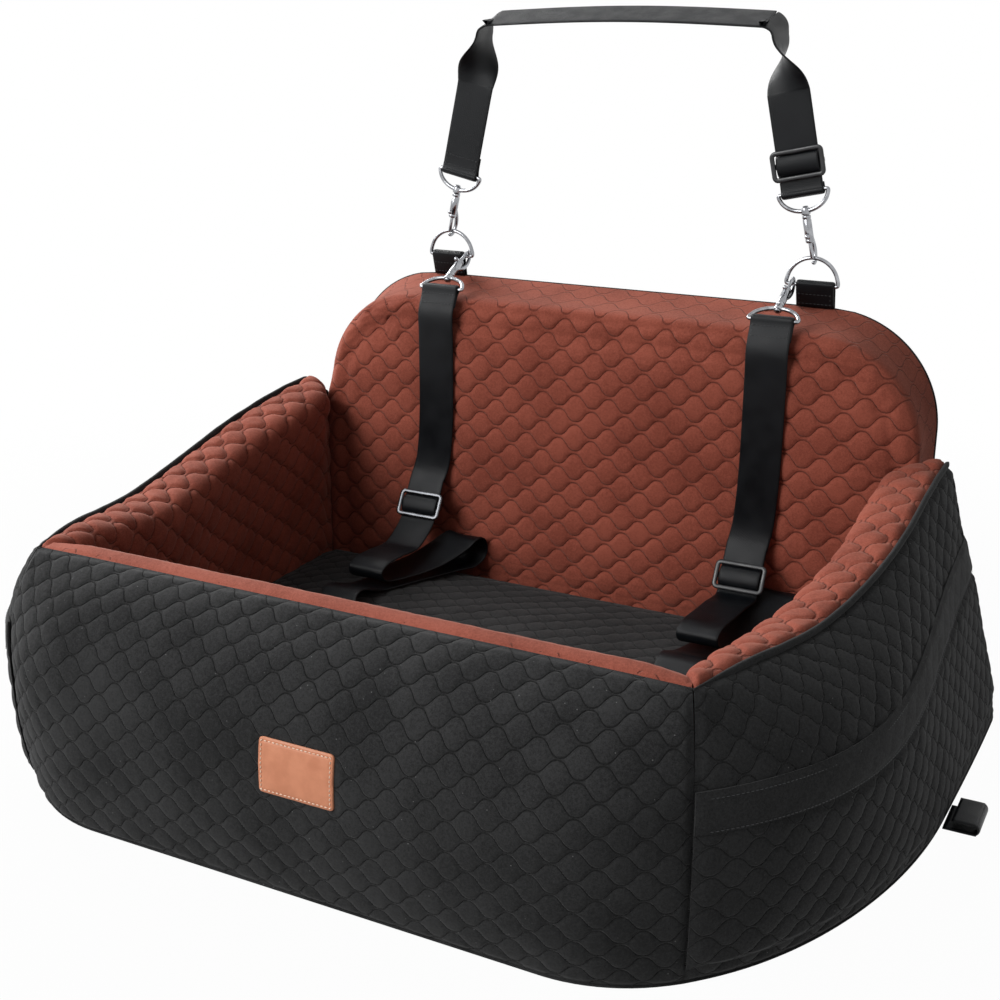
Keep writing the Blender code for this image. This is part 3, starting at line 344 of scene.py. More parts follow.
def closed_loft(
    name: str, loops: Array, uv: Array, sharp_deg: float | None = None, ring: bool = False
) -> bpy.types.Object:
    """Skin a row of closed section loops into one closed piece.

    Args:
        name: Piece name.
        loops: Shape (sections, points, 3).
        uv: Shape (sections, points, 2).
        sharp_deg: Angle over which edges stay sharp, or None.
        ring: Whether the last section joins the first; otherwise both ends are capped.

    Returns:
        The piece, facing outward.
    """
    faces = loft_faces(*loops.shape[:2], ring)
    obj = mesh_object(name, loops.reshape(-1, 3), faces, uv.reshape(-1, 2))
    if sharp_deg is not None:
        obj.data.set_sharp_from_angle(angle=math.radians(sharp_deg))
    face_outward(obj)
    return obj


def section_frames(path: Array, across: Array, ring: bool = False) -> tuple[Array, Array]:
    """Width directions and normals along a path, square to it.

    Args:
        path: The path's points.
        across: Width directions, one per point or one for all.
        ring: Whether the path is closed.

    Returns:
        Unit width directions and unit normals.
    """
    if ring:
        tangent = unit(np.roll(path, -1, axis=0) - np.roll(path, 1, axis=0))
    else:
        tangent = unit(np.gradient(path, axis=0))
    across = np.broadcast_to(across, path.shape)
    across = unit(across - tangent * np.sum(tangent * across, axis=1, keepdims=True))
    return across, np.cross(tangent, across)


def swept(
    name: str,
    path: Array,
    across: Array,
    section: Array,
    ring: bool = False,
    sharp_deg: float | None = None,
) -> bpy.types.Object:
    """Sweep a closed section along a path.

    Args:
        name: Piece name.
        path: The path's points.
        across: Width directions, one per point or one for all.
        section: Offsets (across, normal), shape (k, 2), or (n, k, 2) where it changes.
        ring: Whether the path is closed.
        sharp_deg: Angle over which edges stay sharp, or None.

    Returns:
        The closed piece, its UV the width and the length in metres.
    """
    across, normal = section_frames(path, across, ring)
    section = np.broadcast_to(section, (len(path), *section.shape[-2:]))
    loops = (path[:, None] + across[:, None] * section[..., :1]
             + normal[:, None] * section[..., 1:])
    along = np.repeat(lengths_along(path)[:, None], section.shape[1], axis=1)
    uv = np.stack([section[..., 0], along], axis=-1)
    return closed_loft(name, loops, uv, sharp_deg, ring)


def oval(half_width: float, half_depth: float, sides: int = 16, power: float = 1.0) -> Array:
    """Section of a bar: an oval, squarer where the power is below 1.

    Args:
        half_width: Half size across.
        half_depth: Half size along the normal.
        sides: Points round it.
        power: Squareness.

    Returns:
        Offsets of shape (sides, 2).
    """
    turn = np.arange(sides) * math.tau / sides
    cos, sin = np.cos(turn), np.sin(turn)
    return np.column_stack([
        half_width * np.sign(cos) * np.abs(cos) ** power,
        half_depth * np.sign(sin) * np.abs(sin) ** power,
    ])


def lathed(name: str, profile: Sequence[tuple[float, float]], sides: int = 28) -> bpy.types.Object:
    """Turn a profile about the Z axis.

    Args:
        name: Piece name.
        profile: Rows of (radius, height), from one end to the other.
        sides: Points round it.

    Returns:
        The closed piece.
    """
    rows = np.array(profile)
    turn = np.arange(sides) * math.tau / sides
    around = np.column_stack([np.cos(turn), np.sin(turn)])
    loops = np.concatenate([
        rows[:, :1, None] * around[None], np.repeat(rows[:, None, 1:], sides, axis=1)], axis=-1)
    uv = np.stack([np.repeat(turn[None] * 0.004, len(rows), axis=0), loops[..., 2]], axis=-1)
    return closed_loft(name, loops, uv, 50.0)


def joined(
    name: str, pieces: Sequence[bpy.types.Object], frame: Matrix | None = None
) -> bpy.types.Object:
    """Put several shells into one mesh, placed by a frame.

    Args:
        name: Piece name.
        pieces: The shells; they are removed.
        frame: Where the mesh goes, or None.

    Returns:
        The new object.
    """
    bm = bmesh.new()
    for piece in pieces:
        bm.from_mesh(piece.data)
        bpy.data.objects.remove(piece)
    if frame is not None:
        bmesh.ops.transform(bm, matrix=frame, verts=bm.verts)
    mesh = bpy.data.meshes.new(name)
    bm.to_mesh(mesh)
    bm.free()
    return linked(name, mesh)


@dataclass(frozen=True)
class Inflation:
    """Cloth under air pressure: how a sewn, filled shell swells between its seams."""

    pressure: float = 4.0
    frames: int = 20
    stiffness: float = 12.0
    mass: float = 0.2

    def swell(self, points: Array, faces: list, held: Array, most: float) -> Array:
        """Simulate a coarse closed shell.

        Args:
            points: The shell's points.
            faces: Its faces.
            held: How firmly each point is held, from 0 to 1.
            most: How far a point may move.
        """
        shell = mesh_object("shell", points, faces)
        face_outward(shell)
        group = shell.vertex_groups.new(name="held")
        for weight in np.unique(held):
            group.add(np.flatnonzero(held == weight).tolist(), float(weight), "REPLACE")
        cloth = shell.modifiers.new("air", "CLOTH")
        cloth.settings.quality = 6
        cloth.settings.mass = self.mass
        cloth.settings.tension_stiffness = self.stiffness
        cloth.settings.compression_stiffness = self.stiffness
        cloth.settings.shear_stiffness = self.stiffness / 3.0
        cloth.settings.bending_stiffness = 0.3
        cloth.settings.use_pressure = True
        cloth.settings.uniform_pressure_force = self.pressure
        cloth.settings.effector_weights.gravity = 0.0
        cloth.settings.vertex_group_mass = "held"
        cloth.point_cache.frame_start = 1
        cloth.point_cache.frame_end = self.frames
        scene = bpy.context.scene
        for frame in range(1, self.frames + 1):
            scene.frame_set(frame)
        graph = bpy.context.evaluated_depsgraph_get()
        result = shell.evaluated_get(graph).to_mesh()
        moved = np.empty(len(points) * 3)
        result.vertices.foreach_get("co", moved)
        moved = moved.reshape(-1, 3) - points
        bpy.data.objects.remove(shell)
        scene.frame_set(1)
        far = np.linalg.norm(moved, axis=1, keepdims=True)
        LOG.info("swelling: mean %.1f mm, most %.1f mm", far.mean() * 1000, far.max() * 1000)
        return moved * (most * np.tanh(far / most) / np.maximum(far, 1e-9))


# Quilting


@dataclass(frozen=True)
class Quilting:
    """Wavy lines of quilting, every other one half a wave on, and the soft cells between."""

    period: float
    spacing: float
    swing: float
    puff: float
    softness: float

    def wave(self, turn: Array) -> Array:
        """Sideways swing of a line of quilting, rounder than a plain wave."""
        wave = np.cos(turn)
        return self.swing * wave * (1.28 - 0.28 * wave * wave)

    def lift(self, u: Array, v: Array) -> Array:
        """Height of the padding over the seams.

        Args:
            u: Distance along the lines.
            v: Distance across them.

        Returns:
            Heights from 0 to about the puff.
        """
        turn = math.tau * u / self.period
        even = ping_pong(v - self.wave(turn), self.spacing)
        odd = ping_pong(v - self.spacing + self.wave(turn), self.spacing)
        both = 2.0 * even * odd / np.maximum(even + odd, 1e-9)
        return self.puff * (1.0 - np.exp(-both / self.softness))


BLACK_CELLS = Quilting(0.0285, 0.0109, 0.0047, 0.0019, 0.0036)
RUST_CELLS = Quilting(0.0335, 0.0142, 0.0055, 0.0034, 0.0038)


# Node helpers


class Nodes:
    """Short hand for building one node tree."""

    def __init__(self, tree: bpy.types.NodeTree) -> None:
        """Keep the tree to build in."""
        self.tree = tree

    def add(
        self, kind: str, inputs: dict[int | str, object] | None = None, **settings: object
    ) -> bpy.types.Node:
        """Add a node, set its properties, and then fill its inputs.

        Args:
            kind: The node's type name.
            inputs: Socket name or number to a socket or a plain value.
            **settings: Properties of the node.

        Returns:
            The node.
        """
        node = self.tree.nodes.new(kind)
        for key, value in settings.items():
            setattr(node, key, value)
        self.fill(node, inputs or {})
        return node

    def fill(self, node: bpy.types.Node, inputs: dict[int | str, object]) -> None:
        """Fill inputs of a node.

        Args:
            node: The node.
            inputs: Socket name or number to a socket or a plain value.
        """
        for key, value in inputs.items():
            self.link(value, node.inputs[key])

    def link(self, source: object, target: bpy.types.NodeSocket) -> None:
        """Join a socket, or set a plain value.

        Args:
            source: A socket, or a value.
            target: The input socket.
        """
        if isinstance(source, bpy.types.NodeSocket):
            self.tree.links.new(source, target)
        else:
            target.default_value = source

    def math(self, operation: str, *values: object) -> bpy.types.NodeSocket:
        """Do one calculation.

        Args:
            operation: The operation's name.
            *values: Sockets or numbers.

        Returns:
            The result's socket.
        """
        return self.add("ShaderNodeMath", dict(enumerate(values)), operation=operation).outputs[0]

    def blend(self, share: object, low: object, high: object) -> bpy.types.NodeSocket:
        """Mix two colours.

        Args:
            share: Socket or number from 0 to 1.
            low: Colour at 0.
            high: Colour at 1.

        Returns:
            The mixed colour's socket.
        """
        node = self.add("ShaderNodeMix", {0: share, 6: low, 7: high}, data_type="RGBA")
        return node.outputs[2]

    def span(
        self, value: object, low: float, high: float, start: float = 0.0, end: float = 1.0
    ) -> bpy.types.NodeSocket:
        """Map a value smoothly from one span to another.

        Args:
            value: Socket to map.
            low: Start of its span.
            high: End of its span.
            start: Result at the start.
            end: Result at the end.

        Returns:
            The mapped value's socket.
        """
        values = dict(enumerate((value, low, high, start, end)))
        return self.add("ShaderNodeMapRange", values, interpolation_type="SMOOTHSTEP").outputs[0]

    def noise(self, vector: object, scale: float, detail: float = 3.0) -> bpy.types.NodeSocket:
        """Add smooth noise.

        Args:
            vector: Coordinates.
            scale: Features per metre.
            detail: Octaves.

        Returns:
            The noise value's socket.
        """
        values = {"Vector": vector, "Scale": scale, "Detail": detail}
        return self.add("ShaderNodeTexNoise", values).outputs[0]


def new_group(
    name: str,
    inputs: dict[str, tuple[str, object]],
    outputs: dict[str, str],
    kind: str = "ShaderNodeTree",
) -> tuple[bpy.types.NodeTree, Nodes, bpy.types.Node, bpy.types.Node]:
    """Start a node group with named sockets.

    Args:
        name: The group's name.
        inputs: Socket name to (type word, default value).
        outputs: Socket name to type word.
        kind: The tree's type name.

    Returns:
        The group, its helper, its input node and its output node.
    """
    tree = bpy.data.node_groups.new(name, kind)
    for label, (word, default) in inputs.items():
        socket = tree.interface.new_socket(
            label, in_out="INPUT", socket_type="NodeSocket" + word
        )
        if default is not None:
            socket.default_value = default
    for label, word in outputs.items():
        tree.interface.new_socket(label, in_out="OUTPUT", socket_type="NodeSocket" + word)
    nodes = Nodes(tree)
    return tree, nodes, nodes.add("NodeGroupInput"), nodes.add("NodeGroupOutput")


@dataclass(frozen=True)
class SharedGroups:
    """The shader node groups that several finishes use."""

    quilt_seam: bpy.types.NodeTree
    felt: bpy.types.NodeTree
    lint: bpy.types.NodeTree
    woven: bpy.types.NodeTree
    rubbed: bpy.types.NodeTree

    @classmethod
    def build(cls) -> SharedGroups:
        """Build every group once."""
        return cls(cls._quilt_seam(), cls._felt(), cls._lint(), cls._woven(), cls._rubbed())

    @staticmethod
    def _quilt_seam() -> bpy.types.NodeTree:
        """Groove and stitches of the wavy quilting, read from the cloth's own UV map.

        Returns:
            The node group.
        """
        tree, n, inp, out = new_group(
            "quilt_seam",
            {
                "UV": ("Vector", None),
                "Period": ("Float", 0.032),
                "Spacing": ("Float", 0.015),
                "Swing": ("Float", 0.0052),
                "Groove Width": ("Float", 0.0008),
                "Stitch Length": ("Float", 0.0030),
            },
            {"Groove": "Float", "Stitch": "Float", "Height": "Float"},
        )
        part = n.add("ShaderNodeSeparateXYZ", {0: inp.outputs["UV"]})
        u, v = part.outputs[0], part.outputs[1]
        swing, spacing = inp.outputs["Swing"], inp.outputs["Spacing"]
        turn = n.math("MULTIPLY", n.math("DIVIDE", u, inp.outputs["Period"]), math.tau)
        wave = n.math("COSINE", turn)
        square = n.math("MULTIPLY", wave, wave)
        full = n.math("MULTIPLY", wave, n.math("MULTIPLY_ADD", square, -0.28, 1.28))
        sway = n.math("MULTIPLY", full, swing)
        even = n.math("PINGPONG", n.math("SUBTRACT", v, sway), spacing)
        raised = n.math("SUBTRACT", v, spacing)
        odd = n.math("PINGPONG", n.math("ADD", raised, sway), spacing)
        near = n.math("MULTIPLY", n.math("MINIMUM", even, odd), 0.8)
        share = n.math("DIVIDE", near, inp.outputs["Groove Width"])
        groove = n.math("SUBTRACT", 1.0, n.span(share, 0.0, 1.0))
        dash = n.math("FRACT", n.math("DIVIDE", u, inp.outputs["Stitch Length"]))
        middle = n.math("ABSOLUTE", n.math("SUBTRACT", dash, 0.5))
        run = n.math("SUBTRACT", 1.0, n.span(middle, 0.28, 0.42))
        thread = n.math("SUBTRACT", 1.0, n.span(share, 0.12, 0.40))
        stitch = n.math("MULTIPLY", run, thread)
        height = n.math("SUBTRACT", n.math("MULTIPLY", stitch, 0.5), groove)
        n.fill(out, {"Groove": groove, "Stitch": stitch, "Height": height})
        return tree

    @staticmethod
    def _felt() -> bpy.types.NodeTree:
        """Brushed cloth: fine nap, soft mottling and its bump height.

        Returns:
            The node group.
        """
        tree, n, inp, out = new_group(
            "brushed_cloth",
            {
                "Vector": ("Vector", None),
                "Dark": ("Color", (0.02, 0.02, 0.02, 1.0)),
                "Light": ("Color", (0.05, 0.05, 0.05, 1.0)),
            },
            {"Color": "Color", "Height": "Float"},
        )
        vector = inp.outputs["Vector"]
        nap = n.noise(vector, 1500.0, 2.0)
        clump = n.noise(vector, 520.0, 3.0)
        broad = n.noise(vector, 20.0, 3.0)
        fine = n.math("ADD", n.math("MULTIPLY", nap, 0.55), n.math("MULTIPLY", clump, 0.45))
        share = n.math("ADD", n.math("MULTIPLY", fine, 0.62), n.math("MULTIPLY", broad, 0.38))
        tone = n.span(share, 0.36, 0.64)
        color = n.blend(tone, inp.outputs["Dark"], inp.outputs["Light"])
        n.fill(out, {"Color": color, "Height": fine})
        return tree

    @staticmethod
    def _lint() -> bpy.types.NodeTree:
        """Sparse specks of lint that cling to dark cloth.

        Returns:
            The node group.
        """
        tree, n, inp, out = new_group(
            "lint",
            {"Vector": ("Vector", None), "Amount": ("Float", 0.1)},
            {"Mask": "Float"},
        )
        values = {"Vector": inp.outputs["Vector"], "Scale": 230.0}
        cells = n.add("ShaderNodeTexVoronoi", values)
        speck = n.math("SUBTRACT", 1.0, n.span(cells.outputs["Distance"], 0.05, 0.13))
        pick = n.add("ShaderNodeSeparateColor", {0: cells.outputs["Color"]})
        chosen = n.math("LESS_THAN", pick.outputs[0], inp.outputs["Amount"])
        n.link(n.math("MULTIPLY", speck, chosen), out.inputs["Mask"])
        return tree

    @staticmethod
    def _woven() -> bpy.types.NodeTree:
        """Ribs, picks and tight selvedges of webbing, from the strap's own UV map.

        Returns:
            The node group.
        """
        tree, n, inp, out = new_group(
            "woven_webbing",
            {
                "UV": ("Vector", None),
                "Rib": ("Float", 0.0010),
                "Pick": ("Float", 0.0017),
                "Half Width": ("Float", 0.019),
            },
            {"Height": "Float", "Tone": "Float", "Edge": "Float"},
        )
        part = n.add("ShaderNodeSeparateXYZ", {0: inp.outputs["UV"]})
        across, along = part.outputs[0], part.outputs[1]
        rib_turn = n.math("MULTIPLY", n.math("DIVIDE", across, inp.outputs["Rib"]), math.tau)
        zigzag = n.math("DIVIDE", n.math("PINGPONG", across, inp.outputs["Rib"]),
                        inp.outputs["Rib"])
        slope = n.math("ADD", n.math("DIVIDE", along, inp.outputs["Pick"]), zigzag)
        rib = n.math("MULTIPLY_ADD", n.math("SINE", rib_turn), 0.5, 0.5)
        pick = n.math("MULTIPLY_ADD", n.math("SINE", n.math("MULTIPLY", slope, math.tau)), 0.5, 0.5)
        height = n.math("ADD", n.math("MULTIPLY", rib, 0.45), n.math("MULTIPLY", pick, 0.55))
        inward = n.math("SUBTRACT", inp.outputs["Half Width"], n.math("ABSOLUTE", across))
        edge = n.math("SUBTRACT", 1.0, n.span(inward, 0.0006, 0.0022))
        n.fill(out, {"Height": height, "Tone": n.span(height, 0.1, 0.9), "Edge": edge})
        return tree

    @staticmethod
    def _rubbed() -> bpy.types.NodeTree:
        """Handling marks: soft clouds and fine scuffs on metal, plastic and leather.

        Returns:
            The node group.
        """
        tree, n, inp, out = new_group(
            "rubbed",
            {"Vector": ("Vector", None), "Scale": ("Float", 150.0)},
            {"Cloud": "Float", "Scuff": "Float"},
        )
        values = {0: inp.outputs["Vector"], "Scale": inp.outputs["Scale"]}
        scaled = n.add("ShaderNodeVectorMath", values, operation="SCALE").outputs[0]
        cloud, fine = n.noise(scaled, 1.0, 4.0), n.noise(scaled, 9.0, 2.0)
        n.fill(out, {"Cloud": n.span(cloud, 0.35, 0.70), "Scuff": n.span(fine, 0.55, 0.75)})
        return tree


def start_material(name: str) -> tuple[bpy.types.Material, Nodes, bpy.types.Node]:
    """Start a material with its Principled shader.

    Args:
        name: The material's name.

    Returns:
        The material, its node helper and the shader.
    """
    material = bpy.data.materials.new(name)
    material.use_nodes = True
    return material, Nodes(material.node_tree), material.node_tree.nodes["Principled BSDF"]


def add_bump(
    nodes: Nodes, shader: bpy.types.Node, layers: Sequence[tuple[object, float, float]]
) -> None:
    """Stack bump layers and join them to the shader's normal.

    Args:
        nodes: The material's helper.
        shader: The Principled shader.
        layers: (height socket, strength, distance in metres), the coarsest first.
    """
    previous = None
    for height, strength, distance in layers:
        values = {"Strength": strength, "Distance": distance, "Height": height}
        bump = nodes.add("ShaderNodeBump", values)
        if previous is not None:
            nodes.link(previous, bump.inputs["Normal"])
        previous = bump.outputs[0]
    nodes.link(previous, shader.inputs["Normal"])


# Finishes


@dataclass(frozen=True)
class QuiltedCloth:
    """Brushed cloth, sewn in wavy quilting where it is quilted, with painted shade darkening its
    grooves.
    """

    finish: Finish
    dark: Colour
    light: Colour
    thread: Colour
    # Share of the dark colour left in the quilting grooves: painted shade.
    groove_tone: float = 0.55
    lint_amount: float = 0.0
    sheen: float = 0.15
    sheen_tint: Colour = (1.0, 1.0, 1.0)
    quilting: Quilting | None = None

    def make(self, groups: SharedGroups) -> bpy.types.Material:
        """Build the material from the shared groups.

        Args:
            groups: The shared node groups.

        Returns:
            The material.
        """
        material, n, shader = start_material(self.finish.value[0])
        place = n.add("ShaderNodeTexCoord").outputs["Object"]
        cloth = n.add("ShaderNodeGroup", node_tree=groups.felt)
        n.fill(cloth, {"Vector": place, "Dark": (*self.dark, 1.0), "Light": (*self.light, 1.0)})
        color = cloth.outputs["Color"]
        layers: list[tuple[object, float, float]] = []
        if self.quilting is not None:
            uv = n.add("ShaderNodeUVMap", uv_map=CLOTH_UV)
            seam = n.add("ShaderNodeGroup", node_tree=groups.quilt_seam)
            n.fill(seam, {"UV": uv.outputs[0], "Period": self.quilting.period,
                          "Spacing": self.quilting.spacing, "Swing": self.quilting.swing})
            # Painted shade: the cloth colour is darkened along the quilting grooves.
            shaded = tuple(c * self.groove_tone for c in self.dark)
            color = n.blend(seam.outputs["Groove"], color, (*shaded, 1.0))
            color = n.blend(seam.outputs["Stitch"], color, (*self.thread, 1.0))
            layers.append((seam.outputs["Height"], 0.9, 0.0009))
        if self.lint_amount > 0.0:
            lint = n.add("ShaderNodeGroup", node_tree=groups.lint)
            n.fill(lint, {"Vector": place, "Amount": self.lint_amount})
            mask = n.math("MULTIPLY", lint.outputs["Mask"], 0.5)
            color = n.blend(mask, color, (0.26, 0.26, 0.26, 1.0))
        layers.append((cloth.outputs["Height"], 0.35, 0.0005))
        rough = n.span(cloth.outputs["Height"], 0.35, 0.65, 0.98, 0.86)
        n.fill(shader, {"Base Color": color, "Roughness": rough, "Specular IOR Level": 0.2,
                        "Sheen Weight": self.sheen, "Sheen Roughness": 0.45,
                        "Sheen Tint": (*self.sheen_tint, 1.0)})
        add_bump(n, shader, layers)
        return material


@dataclass(frozen=True)
class Webbing:
    """Tight black webbing with a satin face."""

    finish: Finish = Finish.WEBBING
    dark: Colour = (0.0022, 0.0027, 0.0034)
    light: Colour = (0.0066, 0.0080, 0.0100)
    roughness: float = 0.33

    def make(self, groups: SharedGroups) -> bpy.types.Material:
        """Build the material from the shared groups.

        Args:
            groups: The shared node groups.

        Returns:
            The material.
        """
        material, n, shader = start_material(self.finish.value[0])
        uv = n.add("ShaderNodeUVMap", uv_map=CLOTH_UV)
        weave = n.add("ShaderNodeGroup", node_tree=groups.woven)
        n.link(uv.outputs[0], weave.inputs["UV"])
        place = n.add("ShaderNodeTexCoord").outputs["Object"]
        broad = n.noise(place, 60.0, 2.0)
        tone = n.math("MULTIPLY", weave.outputs["Tone"], n.span(broad, 0.2, 0.8, 0.6, 1.0))
        color = n.blend(tone, (*self.dark, 1.0), (*self.light, 1.0))
        color = n.blend(weave.outputs["Edge"], color, (*self.dark, 1.0))
        rough = n.span(broad, 0.3, 0.7, self.roughness - 0.05, self.roughness + 0.08)
        rough = n.math("ADD", rough, n.math("MULTIPLY", weave.outputs["Edge"], 0.15))
        n.fill(shader, {"Base Color": color, "Roughness": rough, "Specular IOR Level": 0.18})
        add_bump(n, shader, [(weave.outputs["Height"], 0.5, 0.0003)])
        return material


@dataclass(frozen=True)
class Rubbed:
    """A hard or leather finish that shows handling marks."""

    finish: Finish
    dark: Colour
    light: Colour
    roughness: tuple[float, float]
    metallic: float = 0.0
    grain: float = 900.0
    grain_depth: float = 0.0001
    cloud_scale: float = 150.0

    def make(self, groups: SharedGroups) -> bpy.types.Material:
        """Build the material from the shared groups.

        Args:
            groups: The shared node groups.

        Returns:
            The material.
        """
        material, n, shader = start_material(self.finish.value[0])
        place = n.add("ShaderNodeTexCoord").outputs["Object"]
        marks = n.add("ShaderNodeGroup", node_tree=groups.rubbed)
        n.fill(marks, {"Vector": place, "Scale": self.cloud_scale})
        cloud = marks.outputs["Cloud"]
        color = n.blend(cloud, (*self.dark, 1.0), (*self.light, 1.0))
        rough = n.math("ADD", n.span(cloud, 0.0, 1.0, *self.roughness),
                       n.math("MULTIPLY", marks.outputs["Scuff"], 0.08))
        n.fill(shader, {"Base Color": color, "Roughness": rough, "Metallic": self.metallic})
        pores = n.add("ShaderNodeTexVoronoi", {"Vector": place, "Scale": self.grain},
                      feature="DISTANCE_TO_EDGE")
        add_bump(n, shader, [(cloud, 0.15, 0.0003), (pores.outputs[0], 0.25, self.grain_depth)])
        return material


class Wardrobe:
    """Every finish of the seat, built once and put on its pieces."""

    def __init__(self) -> None:
        """Build the node groups and the materials."""
        groups = SharedGroups.build()
        rust_dark, rust_light = (0.190, 0.044, 0.027), (0.312, 0.081, 0.051)
        coal_dark, coal_light = (0.0105, 0.0107, 0.0110), (0.0290, 0.0292, 0.0298)
        finishes = (
            QuiltedCloth(Finish.BLACK_QUILT, coal_dark, coal_light, (0.007, 0.007, 0.007),
                         lint_amount=0.10, sheen=0.06, quilting=BLACK_CELLS),
            QuiltedCloth(Finish.BLACK_CLOTH, coal_dark, coal_light, (0.007, 0.007, 0.007),
                         lint_amount=0.07, sheen=0.06),
            QuiltedCloth(Finish.RUST_QUILT, rust_dark, rust_light, (0.150, 0.034, 0.021),
                         groove_tone=0.90, sheen=0.14, sheen_tint=(1.0, 0.72, 0.60),
                         quilting=RUST_CELLS),
            QuiltedCloth(Finish.RUST_CLOTH, rust_dark, rust_light, (0.20, 0.048, 0.028),
                         sheen=0.14, sheen_tint=(1.0, 0.72, 0.60)),
            Webbing(),
            Rubbed(Finish.METAL, (0.27, 0.275, 0.29), (0.42, 0.43, 0.45), (0.16, 0.30),
                   metallic=1.0, grain=1600.0, grain_depth=0.00004),
            Rubbed(Finish.DULL_METAL, (0.055, 0.057, 0.062), (0.115, 0.118, 0.125),
                   (0.20, 0.32), metallic=1.0, grain=1600.0, grain_depth=0.00004),
            Rubbed(Finish.PLASTIC, (0.004, 0.0045, 0.0055), (0.010, 0.011, 0.013), (0.28, 0.42),
                   grain=2400.0, grain_depth=0.00008, cloud_scale=110.0),
            Rubbed(Finish.LEATHER, (0.57, 0.212, 0.108), (0.65, 0.258, 0.140), (0.45, 0.62),
                   grain=1300.0, grain_depth=0.00018, cloud_scale=95.0),
            Rubbed(Finish.BLACK_THREAD, (0.008, 0.009, 0.010), (0.020, 0.022, 0.025),
                   (0.45, 0.60), grain=3000.0, cloud_scale=400.0),
            Rubbed(Finish.PALE_THREAD, (0.80, 0.58, 0.44), (0.90, 0.72, 0.58),
                   (0.55, 0.70), grain=3000.0, cloud_scale=400.0),
        )
        self.materials = {finish.finish: finish.make(groups) for finish in finishes}

    def dress(self, obj: bpy.types.Object, finish: Finish) -> None:
        """Give a piece its one finish.

        Args:
            obj: The piece.
            finish: The finish.
        """
        material = self.materials[finish]
        if obj.data.materials:
            for slot in obj.material_slots:
                slot.material = material
        else:
            obj.data.materials.append(material)

    def settle(
        self,
        obj: bpy.types.Object,
        finish: Finish,
        body: str,
        *nodes: str,
        fill: float | None = None,
    ) -> bpy.types.Object:
        """Finish a piece, hide the CAD nodes that it stands for, and let it ride on its body.

        Args:
            obj: The piece.
            finish: Its finish.
            body: The body that carries it.
            *nodes: CAD nodes that it stands for.
            fill: How tightly it is filled, for a padded piece; not used.

        Returns:
            The piece.
        """
        self.dress(obj, finish)
        if nodes:
            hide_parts(*nodes)
        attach(obj, body)
        LOG.info("%s: %d faces", obj.name, len(obj.data.polygons))
        return obj


# Sewing


class Sewing:
    """Raised stitches along lines, laid by Geometry Nodes."""

    def __init__(self, wardrobe: Wardrobe) -> None:
        """Build the stitch tree once."""
        self.wardrobe = wardrobe
        self.tree = self._tree()

    @staticmethod
    def _tree() -> bpy.types.NodeTree:
        """One stitch on each step of a line, turned along it.

        Returns:
            The node group.
        """
        tree, n, inp, out = new_group(
            "stitch_row",
            {
                "Lines": ("Geometry", None),
                "Pitch": ("Float", 0.0034),
                "Stitch Length": ("Float", 0.0024),
                "Thread": ("Float", 0.0006),
                "Finish": ("Material", None),
            },
            {"Stitches": "Geometry"},
            "GeometryNodeTree",
        )
        given = inp.outputs
        curve = n.add("GeometryNodeMeshToCurve", {0: given["Lines"]}).outputs[0]
        steps = n.add("GeometryNodeResampleCurve", mode="LENGTH")
        n.fill(steps, {"Curve": curve, "Length": given["Pitch"]})
        bead = n.add("GeometryNodeMeshUVSphere", {"Segments": 6, "Rings": 5, "Radius": 0.5})
        size = n.add("ShaderNodeCombineXYZ",
                     {0: given["Thread"], 1: given["Thread"], 2: given["Stitch Length"]})
        tangent = n.add("GeometryNodeInputTangent").outputs[0]
        turn = n.add("FunctionNodeAlignRotationToVector", {"Vector": tangent}, axis="Z")
        laid = n.add("GeometryNodeInstanceOnPoints",
                     {"Points": steps.outputs[0], "Instance": bead.outputs["Mesh"],
                      "Rotation": turn.outputs[0], "Scale": size.outputs[0]})
        real = n.add("GeometryNodeRealizeInstances", {0: laid.outputs[0]}).outputs[0]
        dressed = n.add("GeometryNodeSetMaterial",
                        {"Geometry": real, "Material": given["Finish"]})
        n.link(dressed.outputs[0], out.inputs[0])
        return tree

    def sew(
        self,
        name: str,
        lines: Sequence[Array],
        finish: Finish,
        body: str,
        pitch: float = 0.0034,
        length: float = 0.0024,
        thread: float = 0.0006,
    ) -> None:
        """Lay stitches along lines as one plain mesh.

        Args:
            name: Piece name.
            lines: Lines of points.
            finish: The thread's finish.
            body: The body that carries them.
            pitch: From one stitch to the next.
            length: Length of a stitch.
            thread: Thickness of the thread.
        """
        mesh = bpy.data.meshes.new(name + "_lines")
        edges, start = [], 0
        for line in lines:
            edges += [(start + i, start + i + 1) for i in range(len(line) - 1)]
            start += len(line)
        mesh.from_pydata([tuple(p) for p in np.vstack(lines).tolist()], edges, [])
        guide = linked(name + "_lines", mesh)
        layer = guide.modifiers.new("stitches", "NODES")
        layer.node_group = self.tree
        values = {"Pitch": pitch, "Stitch Length": length, "Thread": thread,
                  "Finish": self.wardrobe.materials[finish]}
        for item in self.tree.interface.items_tree:
            if item.item_type == "SOCKET" and item.in_out == "INPUT" and item.name in values:
                layer[item.identifier] = values[item.name]
        graph = bpy.context.evaluated_depsgraph_get()
        plain = bpy.data.meshes.new_from_object(guide.evaluated_get(graph), depsgraph=graph)
        plain.name = name
        plain.shade_smooth()
        bpy.data.objects.remove(guide)
        self.wardrobe.settle(linked(name, plain), finish, body)


# Walls


